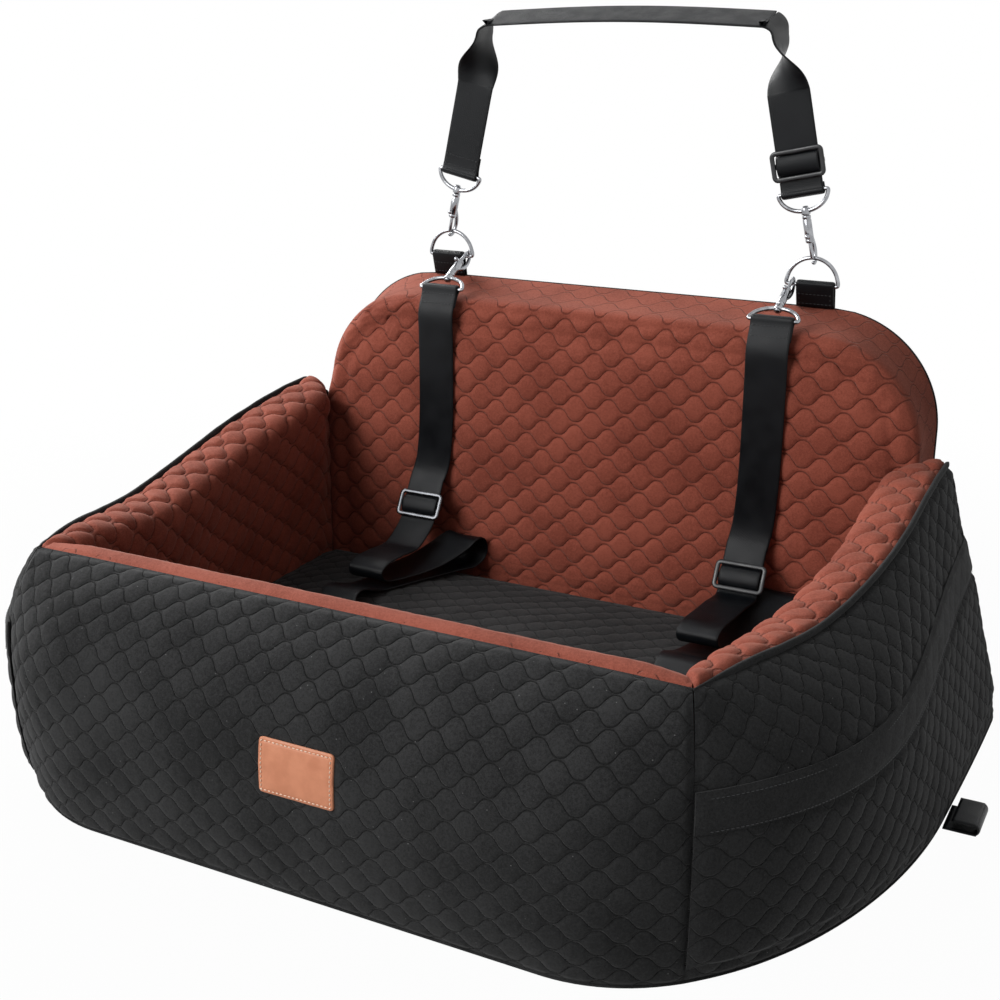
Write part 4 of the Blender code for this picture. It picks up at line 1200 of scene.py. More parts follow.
@dataclass(frozen=True)
class SeatPlan:
    """Sizes of the seat, the same as the CAD part's."""

    width: float = 0.772
    depth: float = 0.570
    back_height: float = 0.337
    back_width: float = 0.600
    back_thickness: float = 0.065
    front_rim: float = 0.199
    dip_rim: float = 0.188
    rear_rim: float = 0.224
    gap: float = 0.0003
    fabric: float = 0.0024
    corner_spread: float = 0.192
    corner_run: float = 0.317
    rim_front_inset: float = 0.063
    rim_flare: float = 0.058
    rim_flare_end_y: float = 0.100
    flare_power: float = 1.7
    mitre_foot_out: float = 0.012
    settle_y: float = -0.060
    inner_set: float = 0.0185
    front_band: float = 0.020
    side_band: float = 0.040
    band_fade: float = 0.030
    bulge_height: float = 0.100
    tuck: float = 0.012
    tuck_power: float = 2.5
    rim_curve_power: float = 3.0
    crease_drop: float = 0.007
    top_crown: float = 0.0015
    dip_y: float = -0.085
    pocket_skin: float = 0.0035

    @property
    def skin(self) -> float:
        """Cover thickness with its gap."""
        return self.gap + self.fabric

    @property
    def core_half(self) -> float:
        """Half width of the padding at the bulge."""
        return self.width / 2 - self.skin - self.pocket_skin

    @property
    def core_foot(self) -> float:
        """Height of the padding's underside."""
        return self.skin

    @property
    def core_front_y(self) -> float:
        """Front of the padding."""
        return -self.core_rear_y

    @property
    def core_rear_y(self) -> float:
        """Rear of the padding."""
        return self.depth / 2 - self.skin

    @property
    def back_front_y(self) -> float:
        """Front face of the backrest."""
        return self.depth / 2 - self.back_thickness

    @property
    def rim_front_y(self) -> float:
        """Front rim seam."""
        return -(self.depth / 2 - self.rim_front_inset)

    @property
    def rim_rear_half(self) -> float:
        """Half width between the rim seams beside the backrest."""
        return self.back_width / 2 + self.gap + self.skin + self.inner_set

    @property
    def rim_corner_half(self) -> float:
        """Half width between the front corners of the rim."""
        return self.rim_rear_half - self.rim_flare

    @property
    def rear_radius(self) -> float:
        """Radius of the rear corners."""
        return self.core_half - self.rim_rear_half

    @property
    def rear_arc_y(self) -> float:
        """Where the rear corners start."""
        return self.core_rear_y - self.rear_radius

    @property
    def mitre_foot(self) -> tuple[float, float]:
        """Widest point of the front corner seam in plan."""
        x = self.rim_corner_half + self.mitre_foot_out
        return x, self.bulge_front_y(x)

    def bulge_front_y(self, x: float) -> float:
        """Front of the bulge at a place across the seat."""
        over = max(abs(x) - (self.core_half - self.corner_spread), 0.0) / self.corner_spread
        return self.core_front_y + self.corner_run * (1.0 - math.sqrt(1.0 - over * over))

    def bulge_side_x(self, y: float) -> float:
        """Side of the bulge at a place along the seat.

        Args:
            y: Place along the seat.

        Returns:
            Its place across the seat.
        """
        over = max(self.core_front_y + self.corner_run - y, 0.0) / self.corner_run
        edge = math.sqrt(max(1.0 - over * over, 0.0))
        return self.core_half - self.corner_spread + self.corner_spread * edge

    def rim_side_x(self, y: float) -> float:
        """Side rim seam at a place along the seat."""
        share = max(self.rim_flare_end_y - y, 0.0) / (self.rim_flare_end_y - self.rim_front_y)
        return self.rim_rear_half - self.rim_flare * share**self.flare_power

    def rim_height(self, y: float) -> float:
        """Height of the side rim seam.

        Args:
            y: Place along the seat.

        Returns:
            The height.
        """
        if y < self.dip_y:
            share = ease((y - self.rim_front_y) / (self.dip_y - self.rim_front_y))
            return self.front_rim + (self.dip_rim - self.front_rim) * float(share)
        share = ease((y - self.dip_y) / (self.rear_arc_y - self.dip_y))
        return self.dip_rim + (self.rear_rim - self.dip_rim) * float(share)

    def band_width(self, y: float) -> float:
        """Width of the rust band on top of a side wall.

        Args:
            y: Place along the seat.

        Returns:
            The width.
        """
        grow = float(ease((y - self.rim_front_y) / (self.settle_y - self.rim_front_y)))
        wide = self.front_band + (self.side_band - self.front_band) * grow
        fade = float(ease((y - (self.back_front_y - self.band_fade)) / (self.band_fade - self.gap)))
        return wide + (self.inner_set - wide) * fade


@dataclass
class Cut:
    """One upright cut through a wall."""

    plan: SeatPlan
    rim: Array
    foot: Array
    height: float
    band: float
    straight: float = 0.0

    @property
    def reach(self) -> float:
        """Plan distance from the rim seam to the widest point."""
        return float(np.linalg.norm(self.foot - self.rim))

    @property
    def out(self) -> Array:
        """Plan direction outward."""
        return (self.foot - self.rim) / self.reach

    def place(self, line: Array) -> Array:
        """Turn points (outward, up) into world points."""
        flat = self.rim[None, :] + self.out[None, :] * line[:, :1]
        return np.column_stack([flat, line[:, 1]])

    def outer_line(self, low: float = 0.0, high: float = 1.0) -> Array:
        """Outer face between two shares of the height: bulged in front, straight behind.

        Args:
            low: Share of the height where it starts.
            high: Share of the height where it ends.

        Returns:
            Points (outward, up), shape (n, 2).
        """
        p = self.plan
        foot = p.core_foot
        z = foot + np.linspace(low, high, 90) * (self.height - foot)
        below = np.clip((p.bulge_height - z) / (p.bulge_height - foot), 0.0, 1.0)
        above = np.clip((z - p.bulge_height) / (self.height - p.bulge_height), 0.0, 1.0)
        bulge = np.where(
            z < p.bulge_height,
            self.reach - p.tuck * below**p.tuck_power,
            self.reach * (1.0 - above**p.rim_curve_power),
        )
        slope = self.reach * (1.0 - np.clip((z - foot) / (self.height - foot), 0.0, 1.0))
        return np.column_stack([bulge + (slope - bulge) * self.straight, z])

    def inner_line(self) -> Array:
        """Rounded line from the rim seam over the band and down the inner face.

        Returns:
            Points (outward, up), shape (n, 2).
        """
        p = self.plan
        top, band = self.height, self.band
        line = np.array([
            (0.0, top - 0.001),
            (-band * 0.18, top + p.top_crown),
            (-band * 0.55, top + p.top_crown),
            (-band * 0.90, top - p.crease_drop * 0.35),
            (-band, top - p.crease_drop - 0.002),
            (-(band * 0.8 + p.inner_set * 0.2), top - 0.032),
            (-p.inner_set, p.bulge_height * 0.68),
            (-p.inner_set, p.bulge_height * 0.34),
            (-p.inner_set, p.core_foot),
        ])
        return rounded(line, 3)

    def rim_roll(self) -> Array:
        """Part of the inner line that lies over the rim."""
        line = self.inner_line()
        return line[line[:, 0] > -self.band * 0.97]

    def lowered(self, drop: float) -> Cut:
        """The same cut with a lower top."""
        return replace(self, height=self.height - drop)


@dataclass(frozen=True)
class SheetLook:
    """How one quilted sheet is puffed, held and rumpled."""

    rows: int
    lift: float
    thickness: float
    puff_share: float = 1.0
    seam_dip: float = 0.0012
    seam_run: float = 0.007
    wander: float = 0.0012
    rumple: float = 0.0
    rumple_run: float = 0.035
    seed: float = 1.0
    cells: Quilting = BLACK_CELLS


class QuiltedWall:
    """A padded wall: black quilted cover outside, rust quilted liner inside."""

    coarse_rows: int = 22
    coarse_columns: int = 64
    most_swell: float = 0.0032
    outer_share: float = 0.75
    inner_share: float = 0.6
    broad_size: float = 0.11
    small_size: float = 0.018

    def __init__(self, plan: SeatPlan, wardrobe: Wardrobe) -> None:
        """Keep what every wall shares.

        Args:
            plan: The seat's sizes.
            wardrobe: The finishes.
        """
        self.plan = plan
        self.wardrobe = wardrobe

    def swelling(self, cuts: Sequence[Cut]) -> tuple[Array, Array]:
        """Simulate the filled wall and say how its two faces swell.

        Args:
            cuts: The wall's cuts, in order.

        Returns:
            How the outer and the inner face move, each of shape (cuts, rows, 3).
        """
        rows = self.coarse_rows
        pick = np.linspace(0, len(cuts) - 1, self.coarse_columns).astype(int)
        chosen = [cuts[i] for i in pick]
        outer = np.stack([c.place(resample(c.outer_line(), rows)) for c in chosen])
        inner = np.stack([c.place(resample(c.inner_line(), rows)) for c in chosen])
        loops = np.concatenate([outer, inner[:, 1:]], axis=1)
        faces = loft_faces(*loops.shape[:2])
        held = np.zeros(loops.shape[:2])
        held[0], held[-1] = 1.0, 1.0
        held[:, 0], held[:, -1], held[:, rows - 1] = 1.0, 1.0, 1.0
        moved = Inflation().swell(loops.reshape(-1, 3), faces, held.ravel(), self.most_swell)
        moved = moved.reshape(loops.shape)
        return moved[:, :rows], moved[:, rows - 1 :]

    def sheet(
        self,
        name: str,
        cuts: Sequence[Cut],
        line_of: Callable[[Cut], Array],
        look: SheetLook,
        side: Side = Side.RIGHT,
        swell: Array | None = None,
        pressed: Callable[[Array], Array] | None = None,
    ) -> bpy.types.Object:
        """Build one quilted sheet over a row of cuts, closed by a plain back.

        Args:
            name: Piece name.
            cuts: The cuts, in order.
            line_of: Gives a cut's line, outward then up.
            look: How the sheet is puffed and held.
            side: RIGHT as computed, LEFT mirrored.
            swell: How the filled wall moves the sheet, on a coarse grid.
            pressed: Gives the share of the puff that is left at each place.

        Returns:
            The closed piece.
        """
        rows = look.rows
        lines = [resample(line_of(cut), rows) for cut in cuts]
        base = np.stack([cut.place(line) for cut, line in zip(cuts, lines)])
        normal = self.outward(base, cuts, lines)
        across = np.linalg.norm(np.diff(base, axis=1), axis=2)
        v = np.concatenate([np.zeros((len(cuts), 1)), np.cumsum(across, axis=1)], axis=1)
        steps = np.linalg.norm(np.diff(base, axis=0), axis=2)
        u = lengths_along(base[:, int(np.argmax(steps.sum(axis=0)))])
        u = u - u[-1] / 2.0
        u_grid = np.repeat(u[:, None], rows, axis=1)
        if swell is not None:
            base = base + finer_grid(swell, len(cuts), rows)
            normal = self.outward(base, cuts, lines)
        puff = look.cells.lift(u_grid, v) * look.puff_share
        to_end = np.minimum(u - u[0], u[-1] - u)[:, None]
        edge = np.minimum(np.minimum(v, v[:, -1:] - v), to_end)
        held = ease(edge / look.seam_run)
        places = base.reshape(-1, 3)
        bumps = soft_noise(places, self.broad_size, look.seed).reshape(v.shape) * look.wander
        if look.rumple > 0.0:
            near_rim = 1.0 - ease(v / look.rumple_run)
            small = soft_noise(places, self.small_size, look.seed + 2.0).reshape(v.shape)
            bumps = bumps + small * look.rumple * near_rim
        if pressed is not None:
            left = pressed(base)
            puff, bumps = puff * left, bumps * left
        height = look.lift + puff * held - look.seam_dip * (1.0 - held) + bumps * held
        face = base + normal * height[..., None]
        pick = np.unique(np.linspace(0, rows - 1, 14).astype(int))
        back = base[:, pick] + normal[:, pick] * (look.lift - look.thickness)
        loops = np.concatenate([face, back[:, ::-1]], axis=1)
        uv_face = np.stack([u_grid, v], axis=-1)
        uv = np.concatenate([uv_face, uv_face[:, pick][:, ::-1]], axis=1)
        return closed_loft(name, loops * side.mirror, uv, 60.0)

    @staticmethod
    def outward(base: Array, cuts: Sequence[Cut], lines: Sequence[Array]) -> Array:
        """Normals of a sheet that point away from the filling.

        Args:
            base: The sheet's grid.
            cuts: Its cuts.
            lines: Their lines.

        Returns:
            Unit normals.
        """
        normal = grid_normals(base)
        sample = len(cuts) // 2
        tangent = np.gradient(lines[sample], axis=0)
        facing = np.column_stack([tangent[:, 1:] * cuts[sample].out[None, :], -tangent[:, 0]])
        return normal if np.sum(normal[sample] * facing) > 0.0 else -normal


class FrontWall(QuiltedWall):
    """The low front wall with its rolled rust rim."""

    columns: int = 430
    corner_sag: float = 0.0032

    def below_rim(self, places: Array) -> Array:
        """Share of the quilting's height that is left under the rolled rim."""
        return ease((self.plan.front_rim - 0.004 - places[..., 2]) / 0.008)

    def cut_at(self, share: float) -> Cut:
        """Cut at a share of the way from the middle (0) to a corner seam (-1 or 1).

        Args:
            share: The share.

        Returns:
            The cut.
        """
        p = self.plan
        foot_x = p.mitre_foot[0] * share
        inset = math.copysign(p.gap / 2, -share)
        rim = np.array([p.rim_corner_half * share + inset, p.rim_front_y])
        foot = np.array([foot_x + inset, p.bulge_front_y(foot_x)])
        return Cut(p, rim, foot, p.front_rim, p.front_band)

    def build(self, patch: LeatherPatch) -> bpy.types.Object:
        """Make the cover and the liner.

        Args:
            patch: The leather patch, which presses the quilting flat.

        Returns:
            The cover.
        """
        p = self.plan
        cuts = [self.cut_at(share) for share in np.linspace(-1.0, 1.0, self.columns)]
        outer, inner = self.swelling(cuts)
        outer = outer * self.outer_share
        cover = self.sheet("front_cover_quilted", cuts, Cut.outer_line,
                           SheetLook(150, p.skin, p.fabric, 0.90, seed=3.1, wander=0.0017),
                           swell=outer, pressed=patch.left_of_puff)
        self.wardrobe.settle(cover, Finish.BLACK_QUILT, "seat", "cover_front", "foam_front",
                             fill=0.7)
        shares = np.linspace(-1.0, 1.0, self.columns)
        low = [cut.lowered(self.corner_sag * float(ease((abs(share) - 0.86) / 0.14)))
               for cut, share in zip(cuts, shares)]
        liner = self.sheet("front_liner_quilted", low, Cut.inner_line,
                           SheetLook(116, p.skin, p.fabric, 0.85, 0.0006, seed=5.2,
                                     cells=RUST_CELLS),
                           swell=inner * self.inner_share, pressed=self.below_rim)
        self.wardrobe.settle(liner, Finish.RUST_QUILT, "seat", "liner_front", fill=0.7)
        roll = self.sheet("front_rim_roll", low, Cut.rim_roll,
                          SheetLook(26, p.skin + 0.0014, 0.0020, 0.0, 0.0017, 0.005, 0.0003,
                                    rumple=0.0005, rumple_run=0.040, seed=6.6),
                          swell=inner[:, : self.coarse_rows // 5] * self.inner_share)
        self.wardrobe.settle(roll, Finish.RUST_CLOTH, "seat", fill=0.7)
        return cover


class SideWall(QuiltedWall):
    """A side wall with its broad rust band, rounded rear corner and outer pocket."""

    columns: int = 250
    rear_columns: int = 62
    corner_sag: float = 0.0032
    edge_rise: float = 0.0036
    pocket_foot: float = 0.07
    hem_foot: float = 0.58
    pocket_top: float = 0.72
    pocket_stand: float = 0.0005
    hem_thickness: float = 0.0030

    def side_cut(self, foot_y: float) -> Cut:
        """Cut whose widest point is at a place along the seat.

        Args:
            foot_y: Place of the widest point along the seat.

        Returns:
            The cut.
        """
        p = self.plan
        mitre_y = p.mitre_foot[1]
        share = min((foot_y - mitre_y) / (p.settle_y - mitre_y), 1.0)
        rim_y = foot_y if share >= 1.0 else p.rim_front_y + (p.settle_y - p.rim_front_y) * share
        rim = np.array([p.rim_side_x(rim_y), rim_y])
        foot = np.array([p.bulge_side_x(foot_y), foot_y])
        straight = float(ease((foot_y - mitre_y) / (p.rear_arc_y - mitre_y)))
        return Cut(p, rim, foot, p.rim_height(rim_y), p.band_width(rim_y), straight)

    def cuts(self, end_y: float) -> list[Cut]:
        """Fine cuts from the front corner seam to a place along the seat."""
        start = self.plan.mitre_foot[1]
        return [self.side_cut(y) for y in np.linspace(start, end_y, self.columns)]

    def rear_cuts(self, turns: float = 90.0, last_x: float | None = None) -> list[Cut]:
        """Cuts that turn round the rear corner, and on to the backrest.

        Args:
            turns: How far they turn, in degrees.
            last_x: Where they end across the seat, or None.

        Returns:
            The cuts, in order.
        """
        p = self.plan
        pivot = np.array([p.rim_rear_half, p.rear_arc_y])
        cuts = []
        for angle in np.linspace(0.0, turns, self.rear_columns)[1:]:
            turn = math.radians(angle)
            out = np.array([math.cos(turn), math.sin(turn)])
            cuts.append(Cut(p, pivot, pivot + out * p.rear_radius, p.rear_rim, p.inner_set, 1.0))
        if last_x is not None:
            for x in np.linspace(p.rim_rear_half, last_x, 12)[1:]:
                rim = np.array([x, p.rear_arc_y])
                drop = p.crease_drop * (p.rim_rear_half - x) / p.inner_set
                foot = rim + np.array([0.0, p.rear_radius])
                cuts.append(Cut(p, rim, foot, p.rear_rim - drop, p.inner_set, 1.0))
        return cuts

    def build(self, side: Side, sewing: Sewing) -> None:
        """Make the cover, liner and pocket of one side.

        Args:
            side: Which side.
            sewing: Lays the stitches of the pocket's hem.
        """
        p = self.plan
        word = side.word
        cuts = self.cuts(p.rear_arc_y)
        liner_cuts = self.cuts(p.rear_arc_y - p.gap)
        outer, inner = self.swelling(liner_cuts)
        rear = self.rear_cuts(90.0, p.back_width / 2 + p.gap)
        share = len(cuts) / (len(cuts) + len(rear))
        coarse = np.zeros((round(len(outer) / share), *outer.shape[1:]))
        coarse[: len(outer)] = outer * self.outer_share
        cover = self.sheet(f"side_cover_{word}", cuts + rear, Cut.outer_line,
                           SheetLook(140, p.skin, p.fabric, 0.90, seed=7.3), side, coarse)
        self.wardrobe.settle(cover, Finish.BLACK_QUILT, "seat", f"cover_{word}",
                             f"foam_{word}", fill=0.7)
        front_rim = p.rim_front_y
        sunk = [cut.lowered(self.corner_sag * (1.0 - float(ease((cut.rim[1] - front_rim) / 0.06))))
                for cut in liner_cuts]
        liner = self.sheet(f"side_liner_{word}", sunk, Cut.inner_line,
                           SheetLook(128, p.skin, p.fabric, 1.0, 0.0006, seed=9.4,
                                     rumple=0.0008, rumple_run=0.045, cells=RUST_CELLS),
                           side, inner * self.inner_share)
        self.wardrobe.settle(liner, Finish.RUST_QUILT, "seat", f"liner_{word}", fill=0.7)
        self.edging(side, cuts)
        self.pocket(side, cuts, self.rear_cuts(45.0), outer * self.outer_share, sewing)

    def edging(self, side: Side, cuts: Sequence[Cut]) -> None:
        """Make the folded edge of the cover along the rim seam.

        Args:
            side: Which side.
            cuts: The side's cuts.
        """
        rise = np.linspace(0.0, 1.0, len(cuts))
        path = np.array([[*(cut.rim + cut.out * 0.0016), cut.height] for cut in cuts])
        path[:, 2] += self.edge_rise * ease(rise / 0.2) + soft_noise(path, 0.05, 41.0) * 0.0004
        path *= side.mirror
        size = 0.35 + 0.65 * ease(rise / 0.12) * ease((1.0 - rise) / 0.02 + 0.2)
        section = oval(0.0022, 0.0030)[None] * size[:, None, None]
        edge = swept(f"cover_edge_{side.word}", path, X_AXIS, section)
        self.wardrobe.settle(edge, Finish.BLACK_CLOTH, "seat", fill=0.5)

    def pocket(
        self,
        side: Side,
        cuts: Sequence[Cut],
        rear: Sequence[Cut],
        outer: Array,
        sewing: Sewing,
    ) -> None:
        """Make the pocket panel and its folded hem, which follow the swollen wall.

        Args:
            side: Which side.
            cuts: The side's cuts.
            rear: The rear corner's cuts that the pocket reaches.
            outer: How the wall's outer face swells.
            sewing: Lays the stitches of the hem.
        """
        p = self.plan
        word = side.word
        spans = []
        full = finer_grid(outer, len(cuts), 101)
        for low, high in ((self.pocket_foot, self.hem_foot), (self.hem_foot, self.pocket_top)):
            part = full[:, int(low * 100) : int(high * 100) + 1]
            spans.append(np.concatenate([part, np.zeros((len(rear), *part.shape[1:]))]))
        every = list(cuts) + list(rear)
        stand = p.skin + self.pocket_stand
        panel = self.sheet(f"pocket_panel_{word}", every,
                           lambda c: c.outer_line(self.pocket_foot, self.hem_foot),
                           SheetLook(84, stand + p.fabric, p.fabric * 0.8, 0.85, seed=11.5),
                           side, spans[0])
        self.wardrobe.settle(panel, Finish.BLACK_QUILT, "seat", f"pocket_{word}", fill=0.3)
        hem = self.sheet(f"pocket_hem_band_{word}", every,
                         lambda c: c.outer_line(self.hem_foot, self.pocket_top),
                         SheetLook(20, stand + self.hem_thickness, 0.0028, 0.22, 0.0012, 0.005,
                                   0.0010, seed=13.6), side, spans[1])
        self.wardrobe.settle(hem, Finish.BLACK_CLOTH, "seat", f"pocket_hem_{word}", fill=0.3)
        rows = []
        for share in (self.hem_foot + 0.012, self.pocket_top - 0.018):
            line = np.stack([cut.place(cut.outer_line(share, share + 0.001))[0]
                             + np.array([*cut.out, 0.0]) * (stand + self.hem_thickness)
                             for cut in every[4:-4]])
            line[: len(cuts) - 4] += full[4:, int(share * 100)]
            rows.append(line * side.mirror)
        sewing.sew(f"hem_stitches_{word}", rows, Finish.BLACK_THREAD, "seat")


@dataclass
class LeatherPatch:
    """The bare leather patch sewn to the front cover."""

    centre_x: float = 0.013
    foot_z: float = 0.088
    width: float = 0.060
    height: float = 0.040
    thickness: float = 0.0016
    corner: float = 0.0030
    stitch_inset: float = 0.0024
    cover: BVHTree | None = None

    def left_of_puff(self, places: Array) -> Array:
        """Share of the quilting's height that the patch leaves.

        Args:
            places: Points on the cover, shape (..., 3).

        Returns:
            Shares from 0 under the patch to 1 away from it.
        """
        aside = np.abs(places[..., 0] - self.centre_x) - self.width / 2
        middle = self.foot_z + self.height / 2
        above = np.abs(places[..., 2] - middle) - self.height / 2
        return ease(np.maximum(aside, above) / 0.007)

    def surface(self, x: Array, z: Array, stand: Array) -> Array:
        """Points over the front cover.

        Args:
            x: Places across.
            z: Heights.
            stand: Distances from the cover.

        Returns:
            Points of the same shape with three coordinates.
        """
        ahead = Vector((0.0, 1.0, 0.0))
        hits = []
        for across, up in zip(x.ravel(), z.ravel()):
            place, normal, _, _ = self.cover.ray_cast(Vector((across, -1.0, up)), ahead)
            hits.append((*place, *normal))
        found = np.array(hits).reshape(*x.shape, 6)
        return found[..., :3] + found[..., 3:] * stand[..., None]

    def build(self, cover: bpy.types.Object, sewing: Sewing, wardrobe: Wardrobe) -> None:
        """Make the patch and its stitches.

        Args:
            cover: The front cover that it lies on.
            sewing: Lays the stitches.
            wardrobe: The finishes.
        """
        self.cover = BVHTree.FromPolygons([v.co for v in cover.data.vertices],
                                          [f.vertices for f in cover.data.polygons])
        rows, columns = 60, 84
        t = np.linspace(-1.0, 1.0, rows)
        up = t * self.height / 2
        over = np.maximum(np.abs(up) - (self.height / 2 - self.corner), 0.0)
        half = self.width / 2 - self.corner + np.sqrt(self.corner**2 - over**2)
        s = np.linspace(-1.0, 1.0, columns)
        x = half[:, None] * s[None, :]
        z = np.repeat(up[:, None], columns, axis=1)
        edge = np.minimum(half[:, None] - np.abs(x), self.height / 2 - np.abs(z))
        seam = np.exp(-(((edge - self.stitch_inset) / 0.0009) ** 2))
        soft = soft_noise(np.stack([x, z, x * 0], axis=-1).reshape(-1, 3), 0.02, 5.0)
        roll = 0.0009 * (1.0 - ease(edge / 0.0012)) + 0.00035 * seam
        top = self.thickness - roll + soft.reshape(x.shape) * 0.00018
        middle = self.foot_z + self.height / 2
        face = self.surface(x + self.centre_x, z + middle, top)
        back = self.surface(x + self.centre_x, z + middle, np.full_like(x, -0.0004))
        loops = np.concatenate([face, back[:, ::-1]], axis=1)
        uv = np.stack([np.concatenate([x, x[:, ::-1]], axis=1),
                       np.concatenate([z, z], axis=1)], axis=-1)
        patch = closed_loft("sewn_leather_patch", loops, uv, 50.0)
        wardrobe.settle(patch, Finish.LEATHER, "seat", "leather_patch")
        w = self.width / 2 - self.stitch_inset
        h = self.height / 2 - self.stitch_inset
        corners = np.array([(-w, -h), (w, -h), (w, h), (-w, h), (-w, -h)])
        line = np.vstack([np.linspace(a, b, 24)[:-1] for a, b in zip(corners, corners[1:])])
        line = np.vstack([line, corners[-1:]])
        row = self.surface(line[:, 0] + self.centre_x, line[:, 1] + middle,
                           np.full(len(line), self.thickness - 0.0001))
        sewing.sew("patch_stitches", [row], Finish.PALE_THREAD, "seat", 0.0032, 0.0023, 0.0009)


# Padded pieces


@dataclass
class Pillow:
    """A padded pad: a quilted face over an outline, sides that follow it, and a flat back."""

    rows: int
    columns: int

    def coarse(self) -> Pillow:
        """The same pad in few faces, for the cloth simulation."""
        return Pillow(max(self.rows // 4, 20), max(self.columns // 4, 30))

    def faces(self, rings: int) -> list[list[int]]:
        """Faces of the grid, of the strips down its rings, and the back.

        Args:
            rings: How many rings follow the grid.

        Returns:
            Lists of vertex numbers.
        """
        count = self.rows * self.columns
        index = np.arange(count).reshape(self.rows, self.columns)
        quads = np.stack([index[:-1, :-1], index[:-1, 1:], index[1:, 1:], index[1:, :-1]], axis=-1)
        faces = quads.reshape(-1, 4).tolist()
        previous = self.border(index)
        for start in range(count, count + rings * len(previous), len(previous)):
            current = np.arange(start, start + len(previous))
            strip = np.stack([previous, current, np.roll(current, -1), np.roll(previous, -1)],
                             axis=-1)
            faces += strip.tolist()
            previous = current
        return faces + [previous[::-1].tolist()]

    def mesh(
        self, name: str, face: Array, uv: Array, rings: Sequence[Array], core: Array
    ) -> bpy.types.Object:
        """Join a face grid to rings that run back from its edge.

        Args:
            name: Piece name.
            face: Face grid, shape (rows, columns, 3).
            uv: Face UV grid, shape (rows, columns, 2).
            rings: Rings of points, each as long as the face's border.
            core: Nearest UV inside the rounded outline, for each point of the border.

        Returns:
            The closed piece.
        """
        edge_uv = self.border(uv)
        away = unit(edge_uv - core)
        points, cloth = [face.reshape(-1, 3)], [uv.reshape(-1, 2)]
        before, run = self.border(face), np.zeros(len(edge_uv))
        for ring in rings:
            run = run + np.linalg.norm(ring - before, axis=1)
            points.append(ring)
            cloth.append(edge_uv + away * run[:, None])
            before = ring
        obj = mesh_object(name, np.vstack(points), self.faces(len(rings)), np.vstack(cloth))
        obj.data.set_sharp_from_angle(angle=math.radians(70.0))
        face_outward(obj)
        return obj

    def swelling(self, face: Array, rings: Sequence[Array], held: Array, most: float) -> Array:
        """Simulate the filled pad and say how its face moves.

        Args:
            face: Coarse face grid.
            rings: Coarse rings.
            held: How firmly each point of the face is held.
            most: How far a point may move.

        Returns:
            How the face moves, shape (rows, columns, 3).
        """
        points = np.vstack([face.reshape(-1, 3), *rings])
        firm = np.ones(len(points))
        firm[: face.shape[0] * face.shape[1]] = held.ravel()
        moved = Inflation().swell(points, self.faces(len(rings)), firm, most)
        return moved[: face.shape[0] * face.shape[1]].reshape(face.shape)

    @staticmethod
    def border(grid: Array) -> Array:
        """First row, last column, last row backwards, first column backwards."""
        return np.concatenate([grid[0, :-1], grid[:-1, -1], grid[-1, :0:-1], grid[:0:-1, 0]])


